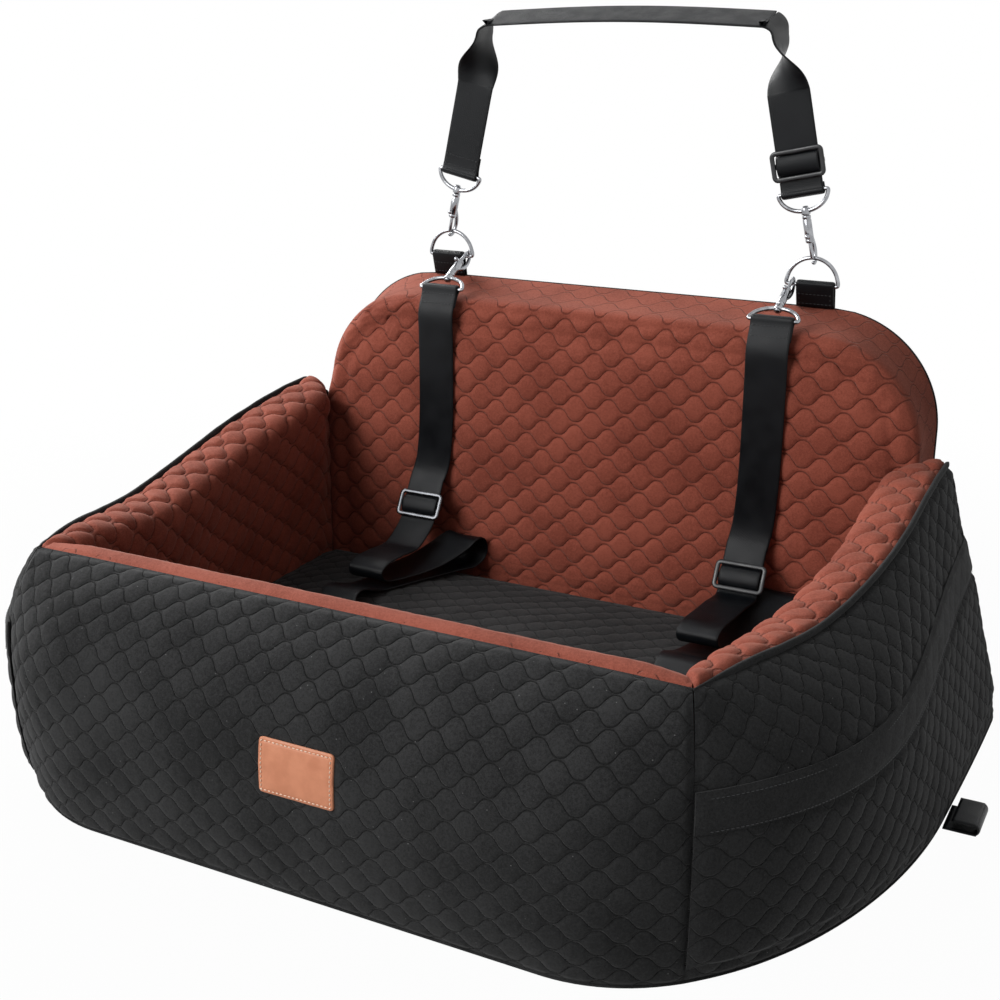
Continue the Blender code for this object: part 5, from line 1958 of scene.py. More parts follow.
@dataclass
class Backrest:
    """The tall pad behind the dog: rust face and edge, black back panel."""

    plan: SeatPlan
    wardrobe: Wardrobe
    corner: float = 0.100
    top_slope: float = 0.010
    face_inset: float = 0.003
    most_swell: float = 0.0055
    round_run: float = 0.024
    round_low: float = 0.0020
    round_free: float = 0.0105
    side_start: float = 0.0133

    def outline_grid(self, y: float, shrink: float, drop: float, pillow: Pillow) -> Array:
        """Grid over the outline at one depth.

        Args:
            y: The depth.
            shrink: How far the outline is drawn in.
            drop: How far its top is lowered.
            pillow: Gives the rows and columns.

        Returns:
            Points of shape (rows, columns, 3).
        """
        p = self.plan
        radius = self.corner - shrink
        top = p.back_height - drop
        z = np.linspace(p.core_foot + shrink, top, pillow.rows)
        over = np.clip(z - (top - radius), 0.0, radius) / radius
        corner = radius * (1.0 - np.sqrt(np.maximum(1.0 - over**2, 0.0)))
        half = p.back_width / 2 - shrink - corner
        x = half[:, None] * np.linspace(-1.0, 1.0, pillow.columns)[None, :]
        return np.stack([x, np.full_like(x, y), np.repeat(z[:, None], pillow.columns, axis=1)],
                        axis=-1)

    def edge_distance(self, x: Array, z: Array, shrink: float, drop: float) -> Array:
        """Distance inward from the sides and top of the outline.

        Args:
            x: Places across.
            z: Heights.
            shrink: How far the outline is drawn in.
            drop: How far its top is lowered.

        Returns:
            The distances.
        """
        p = self.plan
        half = p.back_width / 2 - shrink
        top = p.back_height - drop
        radius = self.corner - shrink
        dx = np.maximum(np.abs(x) - (half - radius), 0.0)
        dz = np.maximum(z - (top - radius), 0.0)
        corner = radius - np.hypot(dx, dz)
        inside = (dx > 0.0) & (dz > 0.0)
        return np.where(inside, corner, np.minimum(half - np.abs(x), top - z))

    def inner_core(self, uv: Array) -> Array:
        """Nearest UV inside the rounded outline.

        Args:
            uv: The points, as UV pairs.

        Returns:
            The nearest pairs.
        """
        half = self.plan.back_width / 2 - self.corner
        top = self.plan.back_height - self.corner
        return np.column_stack([np.clip(uv[:, 0], -half, half), np.clip(uv[:, 1], 0.02, top)])

    def plain(self, pillow: Pillow) -> tuple[Array, Array, list[Array]]:
        """The pad before its quilting.

        Args:
            pillow: Gives the rows and columns.

        Returns:
            The face grid, its distance from the edge, and the rings behind it.
        """
        p = self.plan
        drop = self.top_slope + self.face_inset
        face = self.outline_grid(p.back_front_y, self.face_inset, drop, pillow)
        edge = self.edge_distance(face[..., 0], face[..., 2], self.face_inset, drop)
        near = 1.0 - np.clip(edge / self.round_run, 0.0, 1.0)
        free = ease((face[..., 2] - p.rear_rim + 0.020) / 0.040)
        depth = self.round_low + self.round_free * free
        face[..., 1] += depth * (1.0 - np.sqrt(1.0 - near**2)) + 0.0006
        face[..., 0] *= 1.0 + (1.0 - free) * self.face_inset * 0.9 / (p.back_width / 2)
        rear_y = p.depth / 2 - p.fabric - p.gap
        rings = []
        for share in np.linspace(0.0, 1.0, 12)[1:]:
            y = p.back_front_y + self.side_start
            y += (rear_y - p.back_front_y - self.side_start) * share
            shrink = 0.0025 * (1.0 - share) + 0.0016 * math.sin(math.pi * share)
            low = self.top_slope * (1.0 - share) + shrink
            rings.append(Pillow.border(self.outline_grid(y, shrink, low, pillow)))
        return face, edge, rings

    def build(self) -> None:
        """Make the face pad and the back panel."""
        pillow = Pillow(200, 340)
        small = pillow.coarse()
        rough_face, rough_edge, rough_rings = self.plain(small)
        held = np.where(rough_edge < 0.003, 1.0, 0.0)
        held = np.where(rough_face[..., 2] < 0.055, 1.0, held)
        swell = small.swelling(rough_face, rough_rings, held, self.most_swell)
        face, edge, rings = self.plain(pillow)
        x, z = face[..., 0].copy(), face[..., 2].copy()
        face = face + finer_grid(swell, pillow.rows, pillow.columns)
        face[..., 1] += 0.0022 * ease(edge / 0.05)
        firm = ease(edge / 0.010)
        puff = RUST_CELLS.lift(x, z) * firm
        places = face.reshape(-1, 3)
        broad = soft_noise(places, 0.16, 21.0).reshape(x.shape) * 0.0016
        drawn = np.exp(-(((edge - 0.021) / 0.006) ** 2)) * 0.0022
        small_folds = soft_noise(places, 0.022, 23.0).reshape(x.shape) * 0.0007
        pulled = np.exp(-edge / 0.03)
        face[..., 1] -= puff + (broad - 0.0008 + small_folds * pulled) * firm - drawn
        uv = np.stack([x, z], axis=-1)
        core = self.inner_core(Pillow.border(uv))
        pad = pillow.mesh("backrest_pad", face, uv, rings, core)
        self.wardrobe.settle(pad, Finish.RUST_QUILT, "seat", "liner_back", "foam_back", fill=0.7)
        self.build_panel()

    def build_panel(self) -> None:
        """Make the black quilted panel on the backrest's rear."""
        p = self.plan
        pillow = Pillow(170, 290)
        y = p.depth / 2
        grid = self.outline_grid(y, 0.0, 0.0, pillow)
        x, z = grid[..., 0], grid[..., 2]
        edge = np.minimum(self.edge_distance(x, z, 0.0, 0.0), z - p.core_foot)
        grid[..., 1] = y - 0.0010 + BLACK_CELLS.lift(x, z) * ease(edge / 0.009)
        uv = np.stack([x, z], axis=-1)
        rim = Pillow.border(grid)
        back = Pillow.border(self.outline_grid(y - p.fabric, 0.0, 0.0, pillow))
        bead = (rim + back) / 2 + (rim - self.centre(rim)) * 0.004
        panel = pillow.mesh("back_panel_quilted", grid, uv, [bead, back],
                            self.inner_core(Pillow.border(uv)))
        self.wardrobe.settle(panel, Finish.BLACK_QUILT, "seat", "cover_back", fill=0.3)

    @staticmethod
    def centre(points: Array) -> Array:
        """Middle of a ring, at each point's own depth.

        Args:
            points: The ring's points.

        Returns:
            The middle, once for each point.
        """
        middle = np.repeat(points.mean(axis=0)[None], len(points), axis=0)
        middle[:, 1] = points[:, 1]
        return middle


@dataclass
class Cushion:
    """The loose floor cushion."""

    plan: SeatPlan
    wardrobe: Wardrobe
    top: float = 0.062
    roll: float = 0.009
    roll_run: float = 0.038
    clear: float = 0.001
    corner: float = 0.018
    most_swell: float = 0.0050

    def half_width(self, y: float, inset: float) -> float:
        """Half width of the cushion's plan at a place along the seat.

        Args:
            y: Place along the seat.
            inset: How far the plan is drawn in.

        Returns:
            The half width.
        """
        p = self.plan
        front = p.rim_front_y + p.inner_set + p.skin + self.clear + inset
        rear = p.back_front_y - self.clear - inset
        back = max(self.corner - min(y - front, rear - y), 0.0)
        cut = self.corner - math.sqrt(max(self.corner**2 - back**2, 0.0))
        steady = min(max(y, front + self.corner), rear - self.corner)
        return p.rim_side_x(steady) - p.inner_set - p.skin - self.clear - inset - cut

    def plan_grid(self, inset: float, z: float, pillow: Pillow) -> Array:
        """Grid over the cushion's plan at one height.

        Args:
            inset: How far the plan is drawn in.
            z: Height.
            pillow: Gives the rows and columns.

        Returns:
            Points of shape (rows, columns, 3).
        """
        p = self.plan
        front = p.rim_front_y + p.inner_set + p.skin + self.clear + inset
        y = np.linspace(front, p.back_front_y - self.clear - inset, pillow.rows)
        half = np.array([self.half_width(v, inset) for v in y])
        x = half[:, None] * np.linspace(-1.0, 1.0, pillow.columns)[None, :]
        return np.stack([x, np.repeat(y[:, None], pillow.columns, axis=1), np.full_like(x, z)],
                        axis=-1)

    def plain(self, pillow: Pillow) -> tuple[Array, Array, list[Array]]:
        """The cushion before its quilting.

        Args:
            pillow: Gives the rows and columns.

        Returns:
            The top grid, its distance from the edge, and the rings under it.
        """
        p = self.plan
        top = self.plan_grid(0.002, self.top, pillow)
        x, y = top[..., 0], top[..., 1]
        half = np.array([self.half_width(v, 0.002) for v in y[:, 0]])[:, None]
        edge = np.minimum(half - np.abs(x), np.minimum(y - y[0, 0], y[-1, 0] - y))
        sink = (self.roll + 0.004) * (1.0 - ease(edge / self.roll_run) ** 0.7)
        top[..., 2] = self.top - 0.0026 - sink
        rings = []
        for share, inset in ((0.15, 0.0006), (0.4, 0.0), (0.65, 0.001), (0.85, 0.003), (1, 0.008)):
            low, high = p.core_foot + p.gap, self.top - self.roll - 0.0066
            ring = self.plan_grid(inset, high * (1.0 - share) + low * share, pillow)
            rings.append(Pillow.border(ring))
        return top, edge, rings

    def build(self) -> None:
        """Make the cushion."""
        pillow = Pillow(230, 330)
        small = pillow.coarse()
        rough, rough_edge, rough_rings = self.plain(small)
        held = np.where(rough_edge < 0.004, 1.0, 0.0)
        swell = small.swelling(rough, rough_rings, held, self.most_swell)
        top, edge, rings = self.plain(pillow)
        x, y = top[..., 0].copy(), top[..., 1].copy()
        top[..., 2] += finer_grid(swell, pillow.rows, pillow.columns)[..., 2] * 0.5
        top[..., 2] -= 0.0022 * ease(edge / 0.05)
        firm = ease(edge / 0.012)
        bumps = soft_noise(top.reshape(-1, 3), 0.17, 31.0).reshape(x.shape) * 0.0010
        top[..., 2] += (BLACK_CELLS.lift(x, y) * 0.9 + bumps) * firm
        top[..., 2] = np.minimum(top[..., 2], self.top - 0.0001)
        uv = np.stack([x, y], axis=-1)
        rim = Pillow.border(uv)
        core = np.column_stack([rim[:, 0] * 0.9, np.clip(rim[:, 1], -0.18, 0.19)])
        cushion = pillow.mesh("floor_cushion", top, uv, rings, core)
        self.wardrobe.settle(cushion, Finish.BLACK_QUILT, "seat", "seat_cushion", fill=0.75)


@dataclass
class BasePanel:
    """The plain cloth panel under the whole seat."""

    plan: SeatPlan
    front: FrontWall
    side: SideWall
    wardrobe: Wardrobe

    def outline(self) -> Array:
        """Plan outline at the foot, once round from the front middle.

        Returns:
            Points of shape (n, 2).
        """
        p = self.plan
        cuts = [self.front.cut_at(share) for share in np.linspace(0.0, 1.0, 40)[:-1]]
        cuts += self.side.cuts(p.rear_arc_y)[::4]
        cuts += self.side.rear_cuts(90.0, p.back_width / 2)[::4]
        half = np.stack([cut.rim + cut.out * (cut.outer_line()[0, 0] + p.skin * 0.9)
                         for cut in cuts])
        half[0, 0] = 0.0
        return np.vstack([half, half[:0:-1] * np.array([-1.0, 1.0])])

    def build(self) -> None:
        """Make the panel: a thin plate with a rounded edge and a slightly sunk middle."""
        ring = self.outline()
        shares = np.concatenate([np.linspace(0.02, 0.985, 26), [0.994, 0.999, 1.0],
                                 [1.0, 0.999, 0.994], np.linspace(0.985, 0.02, 4)])
        heights = np.concatenate([np.full(26, 0.0), [0.0001, 0.0005, 0.0010],
                                  [0.0014, 0.0019, 0.0023], np.full(4, self.plan.fabric)])
        sunk = np.concatenate([0.0008 * ease((1.0 - shares[:26]) / 0.05), np.zeros(10)])
        loops = np.stack([np.column_stack([ring * share, np.full(len(ring), z + up)])
                          for share, z, up in zip(shares, heights, sunk)])
        panel = closed_loft("base_panel", loops, loops[..., :2], 60.0)
        self.wardrobe.settle(panel, Finish.BLACK_CLOTH, "seat", "cover_base", fill=0.1)


# Rings, snaps and sliders


@dataclass(frozen=True)
class Hardware:
    """Sizes of the metal and plastic pieces, the same as the CAD part's."""

    ring_x: float = 0.182
    ring_y: float = 0.278
    ring_z: float = 0.357
    ring_wire: float = 0.0036
    ring_half: float = 0.0232
    ring_rise: float = 0.024
    snap_wire: float = 0.0034
    snap_length: float = 0.058
    snap_offset: float = 0.0039
    eye_wire: float = 0.0036
    eye_half: float = 0.0221
    eye_rise: float = 0.0165
    collar_foot: float = 0.0384
    collar_height: float = 0.0060
    collar_radius: float = 0.0040
    barrel_foot: float = 0.0140
    barrel_radius: float = 0.0038
    knob_height: float = 0.0200
    knob_reach: float = 0.0068
    knob_radius: float = 0.0021
    pin_radius: float = 0.0016
    pin_top: float = 0.0245
    hook_depth: float = 0.0105
    hook_tip: float = -0.0024
    gap: float = 0.0003
    glide_height: float = 0.027
    glide_rail: float = 0.0042
    glide_thickness: float = 0.0024
    glide_half: float = 0.0238
    glide_near: float = 0.0019

    @staticmethod
    def bow(half: float, rise: float) -> Array:
        """Closed D in the XZ plane, its bar at z = 0 and its bow upward.

        Args:
            half: Half its width.
            rise: Its height.

        Returns:
            The wire's path.
        """
        turn = np.linspace(0.0, math.pi, 13)
        arc = np.column_stack([half * np.cos(turn), turn * 0,
                               rise * np.maximum(np.sin(turn), 0.06)])
        bar = np.array([(-half * s, 0.0, 0.0) for s in (0.9, 0.45, 0.0, -0.45, -0.9)])
        return threaded(np.vstack([bar, arc]), 6, closed=True)

    def d_ring(self, side: Side) -> bpy.types.Object:
        """Bent wire ring with its welded bar.

        Args:
            side: Which side.

        Returns:
            The ring.
        """
        path = self.bow(self.ring_half, self.ring_rise)
        path += np.array([side.value * self.ring_x, self.ring_y, self.ring_z])
        wire = oval(self.ring_wire / 2, self.ring_wire / 2)
        return swept(f"d_ring_{side.word}", path, Y_AXIS, wire, ring=True)

    def eye(self, name: str, frame: Matrix) -> bpy.types.Object:
        """Swivel eye: a flattened bow and its turned collar.

        Args:
            name: Piece name.
            frame: Where it goes, its eye or top up along Z.

        Returns:
            The eye.
        """
        path = self.bow(self.eye_half, self.eye_rise) * np.array([1.0, 1.0, -1.0])
        path[:, 2] += self.snap_length
        low = (self.snap_length - path[:, 2]) / self.eye_rise
        wire = oval(self.eye_wire / 2, self.eye_wire / 2)[None] * (1.0 + 0.12 * low[:, None, None])
        bow = swept("bow", path, Y_AXIS, wire, ring=True)
        r, z, h = self.collar_radius, self.collar_foot, self.collar_height
        collar = lathed("collar", [
            (0.0019, z), (r * 0.84, z), (r * 0.97, z + 0.0004), (r, z + 0.0011),
            (r * 0.93, z + h * 0.45), (r * 0.96, z + h - 0.0010), (r * 0.86, z + h - 0.0002),
            (0.0024, z + h), (0.0019, z + h)])
        return joined(name, [bow, collar], frame)

    def hook(self, name: str, frame: Matrix) -> bpy.types.Object:
        """Turned barrel, swivel stud and the curved hook.

        Args:
            name: Piece name.
            frame: Where it goes, its eye or top up along Z.

        Returns:
            The hook.
        """
        foot, top, r = self.barrel_foot, self.collar_foot - self.gap, self.barrel_radius
        barrel = lathed("barrel", [
            (0.0014, foot - 0.0004), (r * 0.72, foot - 0.0003), (r * 0.93, foot + 0.0004),
            (r, foot + 0.0012), (r, foot + 0.0026), (r * 0.92, foot + 0.0030),
            (r * 0.92, foot + 0.0034), (r, foot + 0.0038), (r, top - 0.0042),
            (r * 0.90, top - 0.0037), (r * 0.90, top - 0.0032), (r, top - 0.0027),
            (r, top - 0.0011), (r * 0.90, top - 0.0003), (r * 0.62, top), (0.0012, top)])
        head_foot = self.collar_foot + self.collar_height + self.gap
        stud = lathed("stud", [
            (0.0006, top - 0.0010), (0.0015, top - 0.0008), (0.0015, head_foot),
            (0.0026, head_foot + 0.0001), (0.0028, head_foot + 0.0006),
            (0.0023, head_foot + 0.0012), (0.0008, head_foot + 0.0015)], 20)
        depth = np.array([0.10, 0.42, 0.80, 1.00, 0.94, 0.70, 0.38, 0.12, -0.02])
        height = np.array([1.80, 1.50, 1.02, 0.50, 0.08, -0.22, -0.32, -0.28, -0.171])
        places = np.column_stack([depth * 0, depth * self.hook_depth, height * foot])
        path = threaded(places, 8)
        share = lengths_along(path) / lengths_along(path)[-1]
        thick = 1.0 + 0.22 * np.exp(-(((share - 0.45) / 0.25) ** 2)) - 0.10 * share
        thick *= np.sqrt(np.clip((1.0 - share) / 0.03 + 0.03, 0.0, 1.0))
        wire = oval(self.snap_wire / 2, self.snap_wire / 2)[None] * thick[:, None, None]
        curve = swept("curve", path, X_AXIS, wire)
        return joined(name, [barrel, stud, curve], frame)

    def bolt(self, name: str, frame: Matrix) -> bpy.types.Object:
        """Sliding pin with its thumb knob.

        Args:
            name: Piece name.
            frame: Where it goes, its eye or top up along Z.

        Returns:
            The bolt.
        """
        foot = self.hook_tip + self.snap_wire / 2 + self.gap
        r = self.pin_radius
        pin = lathed("pin", [(0.0004, foot), (r * 0.8, foot + 0.0002), (r, foot + 0.0008),
                             (r, self.pin_top - 0.0004), (r * 0.7, self.pin_top)], 20)
        k, reach = self.knob_radius, self.knob_reach
        turn = np.linspace(0.12, math.pi / 2 + 0.95, 9)
        ball = [(k * math.sin(t), reach + k * math.cos(t)) for t in turn]
        knob = lathed("knob", [*ball, (0.0011, reach - k * 0.95), (0.0011, 0.0)], 20)
        turned = Matrix.Translation((0.0, 0.0, self.knob_height)) @ Matrix.Rotation(
            math.pi / 2, 4, "X")
        knob.data.transform(turned)
        return joined(name, [pin, knob], frame)

    def slider(self, name: str, frame: Matrix) -> bpy.types.Object:
        """Tri-glide: a rounded window frame in front and a bar behind the webbing.

        Args:
            name: The slider's name in the CAD.
            frame: Its place on the strap, the window forward.

        Returns:
            The slider.
        """
        rail, thick = self.glide_rail / 2, self.glide_thickness / 2
        x = self.glide_half - rail
        z = self.glide_height / 2 - rail
        front = -self.glide_near - thick
        turn = np.linspace(0.0, math.pi / 2, 7)
        bend = 0.0030
        path = []
        for centre, start in (((x, z), 0), ((-x, z), 1), ((-x, -z), 2), ((x, -z), 3)):
            middle = np.array(centre) - bend * np.sign(centre)
            angle = turn + start * math.pi / 2
            path.append(middle + bend * np.column_stack([np.cos(angle), np.sin(angle)]))
        plan = np.vstack(path)
        corners = np.vstack([plan, plan[:1]])
        plan = resample(corners, 97)[:-1]
        ring = np.column_stack([plan[:, 0], np.full(len(plan), front), plan[:, 1]])
        frame_bar = oval(thick * 1.08, rail, 20, 0.85)
        window = swept("window", ring, Y_AXIS, frame_bar, ring=True)
        rear = self.glide_near + thick
        bar = rounded(np.array([(-x, front, 0.0), (-x, 0.0, 0.0), (-x, rear, 0.0), (0.0, rear, 0.0),
                                (x, rear, 0.0), (x, 0.0, 0.0), (x, front, 0.0)]), 3)
        behind = swept("behind", resample(bar, 60), Z_AXIS,
                       oval(self.glide_rail * 0.6, thick, 16, 0.7))
        return joined(name, [window, behind], frame)


class Fittings:
    """Hangs rings, snaps and sliders where the CAD has them."""

    def __init__(self, sizes: Hardware, wardrobe: Wardrobe) -> None:
        """Keep the sizes and the finishes."""
        self.sizes = sizes
        self.wardrobe = wardrobe

    def rings(self) -> None:
        """Make both D-rings."""
        for side in Side:
            self.wardrobe.settle(self.sizes.d_ring(side), Finish.METAL, f"ring_{side.word}",
                                 f"ring_{side.word}")

    def snap(self, name: str, frame: Matrix, body: str, hook_turn: float = 0.0) -> None:
        """Hang one bolt snap.

        Args:
            name: The snap's name in the CAD.
            frame: Its place: the eye up along Z.
            body: The body that carries its eye.
            hook_turn: How far its hook is turned on the swivel.
        """
        turned = frame @ Matrix.Rotation(hook_turn, 4, "Z")
        s, w = self.sizes, self.wardrobe
        w.settle(s.eye(f"{name}_cast_eye", frame), Finish.METAL, body, f"{name}_snap_eye")
        w.settle(s.hook(f"{name}_cast_hook", turned), Finish.METAL, f"{name}_hook",
                 f"{name}_snap_hook")
        w.settle(s.bolt(f"{name}_turned_bolt", turned), Finish.METAL, f"{name}_bolt",
                 f"{name}_snap_bolt")

    def slider(self, name: str, frame: Matrix, finish: Finish) -> None:
        """Put one slider on its strap, with the fold of webbing in its window.

        Args:
            name: The slider's name in the CAD.
            frame: Its place on the strap, the window forward.
            finish: Its finish.
        """
        self.wardrobe.settle(self.sizes.slider(f"{name}_frame", frame), finish, name, name)
        fold = threaded(np.array([
            (0.0, 0.0002, 0.0088), (0.0, -0.0018, 0.0078), (0.0, -0.0034, 0.0045),
            (0.0, -0.0040, 0.0), (0.0, -0.0034, -0.0045), (0.0, -0.0018, -0.0078),
            (0.0, 0.0002, -0.0088)]), 5)
        roll = swept("roll", fold, X_AXIS, oval(0.0189, 0.0009, 16, 0.5))
        self.wardrobe.settle(joined(f"{name}_fold", [roll], frame), Finish.WEBBING, name)


# Straps


@dataclass
class StrapLine:
    """A strap's path with its width directions, for the webbing and its stitches."""

    stations: Array
    width: float = 0.038
    thickness: float = 0.0022
    steps: int = 5

    def __post_init__(self) -> None:
        """Thread a fine path through the stations."""
        fine = threaded(self.stations, self.steps)
        self.path = fine[:, :3]
        self.across, self.normal = section_frames(self.path, fine[:, 3:])
        self.along = lengths_along(self.path)

    def webbing(self, name: str) -> bpy.types.Object:
        """Sweep the webbing, with thin woven edges.

        Args:
            name: Piece name.

        Returns:
            The closed strap.
        """
        w, t = self.width / 2, self.thickness / 2
        xs = np.array([-w, -w + 0.0004, -w + 0.0012, -w + 0.0026, -w / 2, 0.0,
                       w / 2, w - 0.0026, w - 0.0012, w - 0.0004, w])
        hs = np.array([0.0, 0.55, 0.82, 1.0, 0.97, 0.97, 0.97, 1.0, 0.82, 0.55, 0.0]) * t
        low = np.column_stack([xs, -hs])
        high = np.column_stack([xs[-2:0:-1], hs[-2:0:-1]])
        return swept(name, self.path, self.across, np.vstack([low, high]))

    def row(self, start: tuple[float, float], end: tuple[float, float], face: Array) -> Array:
        """Line of stitches between two places on the webbing.

        Args:
            start: Distance along the strap and offset across it.
            end: The same for the other end.
            face: Direction that the stitched side faces.

        Returns:
            Points just proud of that side.
        """
        mix = np.linspace(0.0, 1.0, 12)
        far = start[0] + (end[0] - start[0]) * mix
        aside = start[1] + (end[1] - start[1]) * mix
        pick = [np.stack([np.interp(far, self.along, column) for column in part.T], axis=1)
                for part in (self.path, self.across, self.normal)]
        sign = 1.0 if np.sum(pick[2][6] * face) > 0.0 else -1.0
        return pick[0] + pick[1] * aside[:, None] + pick[2] * sign * (self.thickness / 2 + 0.0001)

    def box(self, low: float, high: float, face: Array) -> list[Array]:
        """Four rows of stitches in a box between two distances along the strap.

        Args:
            low: Where it starts along the strap.
            high: Where it ends.
            face: Direction that the stitched side faces.

        Returns:
            The four rows.
        """
        s = self.width / 2 - 0.0030
        return [self.row((low, -s), (low, s), face), self.row((high, -s), (high, s), face),
                self.row((low, -s), (high, -s), face), self.row((low, s), (high, s), face)]


@dataclass
class Straps:
    """Hand strap, two tethers, ring tabs and base loops, in black webbing."""

    plan: SeatPlan
    sizes: Hardware
    wardrobe: Wardrobe
    fittings: Fittings
    sewing: Sewing
    side_wall: SideWall
    thickness: float = 0.0022
    width: float = 0.038
    tab_width: float = 0.034
    tab_shift: float = 0.0035
    tab_foot_y: float = 0.2825
    tab_foot_depth: float = 0.0046
    carry_top: float = 0.584
    carry_top_half: float = 0.138
    carry_corner: float = 0.014
    twist_run: float = 0.050
    twist_lead: float = 0.004
    carry_crown: float = 0.004
    carry_hem: float = 0.018
    carry_tail: float = 0.006
    carry_glide_lift: float = 0.0245
    carry_tilt_deg: float = 20.0
    tether_tilt_deg: float = 27.5
    tether_x: float = 0.16455
    reach: float = 0.185
    tether_hem: float = 0.018
    leash_hem: float = 0.015
    leash_lift: float = 0.0048
    seam_start: float = 0.0065
    seam_margin: float = 0.002
    cushion_top: float = 0.062
    fold_height: float = 0.028
    glide_forward: float = 0.147
    glide_drift: float = -0.5
    glide_lean_deg: float = 60.0
    run_above: float = 0.028
    run_below: float = 0.0174
    base_loop_y: float = 0.045
    base_loop_reach: float = 0.026
    base_loop_bend: float = 0.0040
    base_loop_foot: float = 0.006
    drops: tuple = ((0.036, 0.88, 0.00), (0.036, 0.60, 0.00), (0.036, 0.32, -0.05),
                    (0.043, 0.10, -0.25))
    folds: tuple = (
        (0.3243, 0.982, -0.60), (0.4432, 0.946, -0.80), (0.5514, 0.911, -1.00),
        (0.6135, 0.750, -1.10), (0.6243, 0.554, -1.10), (0.5946, 0.339, -1.00),
        (0.5189, 0.250, -0.70), (0.3892, 0.286, 0.00), (0.2703, 0.464, 0.80),
        (0.1730, 0.750, 1.50), (0.0973, 1.000, 2.00), (0.0514, 0.964, 2.20),
        (0.0270, 0.714, 2.25), (0.0281, 0.393, 2.20), (0.0649, 0.154, 2.00),
        (0.1351, 0.043, 1.50), (0.2703, 0.012, 0.70), (0.4324, 0.011, -0.20),
        (0.5730, 0.018, -0.90), (0.6486, 0.093, -1.12), (0.7243, 0.268, -1.25),
        (0.7838, 0.393, -1.30), (0.8324, 0.350, -1.30), (0.8649, 0.207, -1.25),
        (0.8946, 0.075, -1.15), (0.9270, 0.029, -1.05),
    )

    @property
    def loop_radius(self) -> float:
        """Radius of the webbing round an eye's bar."""
        return self.sizes.eye_wire / 2 + self.sizes.gap + self.thickness / 2

    @property
    def ply(self) -> float:
        """Half the distance between two plies."""
        return (self.thickness + self.sizes.gap) / 2

    def hem_loop(self, eye: Array, along: Array, toward: Array, hem: float) -> Array:
        """Points of a strap's end: down from the hem, round the bar, to the near ply.

        Args:
            eye: Middle of the bar.
            along: Direction of the strap away from it.
            toward: Direction of the near ply.
            hem: Length of the hem.

        Returns:
            The points.
        """
        if hem > self.loop_radius * 2:
            points = [eye + along * hem - toward * self.ply,
                      eye + along * self.loop_radius * 2.2 - toward * self.ply * 1.15]
        else:
            points = [eye + along * hem - toward * self.loop_radius * 0.85]
        for turn in (-90.0, -130.0, -180.0, -230.0, -270.0):
            angle = math.radians(turn)
            points.append(eye + (along * math.cos(angle) + toward * math.sin(angle))
                          * self.loop_radius)
        points.append(eye + along * self.loop_radius * 2.2 + toward * self.ply * 1.15)
        return np.array(points)

    def carry_frame(self, side: Side) -> Matrix:
        """Frame of a hand strap snap: on the ring's top, leaning in to the strap.

        Args:
            side: Which side.

        Returns:
            The frame.
        """
        s = self.sizes
        top = s.ring_z + s.ring_rise
        lean = math.atan2(s.ring_x - self.carry_top_half, self.carry_top - top)
        seat = Vector((side.value * s.ring_x, s.ring_y - s.snap_offset, top))
        return Matrix.Translation(seat) @ Matrix.Rotation(-side.value * lean, 4, "Y")

    def carry_half(self, frame: Matrix, hem: float) -> Array:
        """Half the hand strap, from its eye to the middle of its top.

        Args:
            frame: The snap's frame.
            hem: Length of its hem.

        Returns:
            Rows of (point, width direction).
        """
        eye = np.array(frame @ Vector((0.0, 0.0, self.sizes.snap_length)))
        axes = np.array(frame.to_3x3())
        along, across, depth = axes[:, 2], axes[:, 0], FORWARD
        tilt = math.radians(self.carry_tilt_deg)
        faced = np.array([0.0, -math.cos(tilt), -math.sin(tilt)])
        rows = [np.append(p, across) for p in self.hem_loop(eye, along, depth, hem)]
        inward = -math.copysign(1.0, eye[0])
        level = np.array([inward, 0.0, 0.0])
        turn = math.acos(float(along @ level))
        corner = eye + along * ((self.carry_top - self.carry_crown - eye[2]) / along[2])
        corner = corner + depth * self.ply
        bend_start = corner - along * self.carry_corner * math.tan(turn / 2)
        twist_end = bend_start - along * self.twist_lead
        twist_start = twist_end - along * self.twist_run
        lift = self.carry_hem + self.sizes.glide_height
        rows.append(np.append(eye + along * lift + depth * self.ply, across))
        for share in np.linspace(0.0, 1.0, 9):
            angle = math.pi / 2 * float(ease(share))
            way = across * math.cos(angle) * -inward + faced * math.sin(angle)
            rows.append(np.append(twist_start + (twist_end - twist_start) * share, way))
        centre = bend_start + unit(level - along * (along @ level)) * self.carry_corner
        spoke = bend_start - centre
        for angle in np.linspace(0.0, turn, 6):
            point = centre + spoke * math.cos(angle) + along * math.sin(angle) * self.carry_corner
            rows.append(np.append(point, faced))
        end = rows[-1][:3]
        for share in np.linspace(0.0, 1.0, 5)[1:]:
            rise = self.carry_crown * math.sin(math.pi / 2 * share)
            rows.append(np.append([end[0] * (1 - share), end[1], end[2] + rise], faced))
        return np.array(rows)

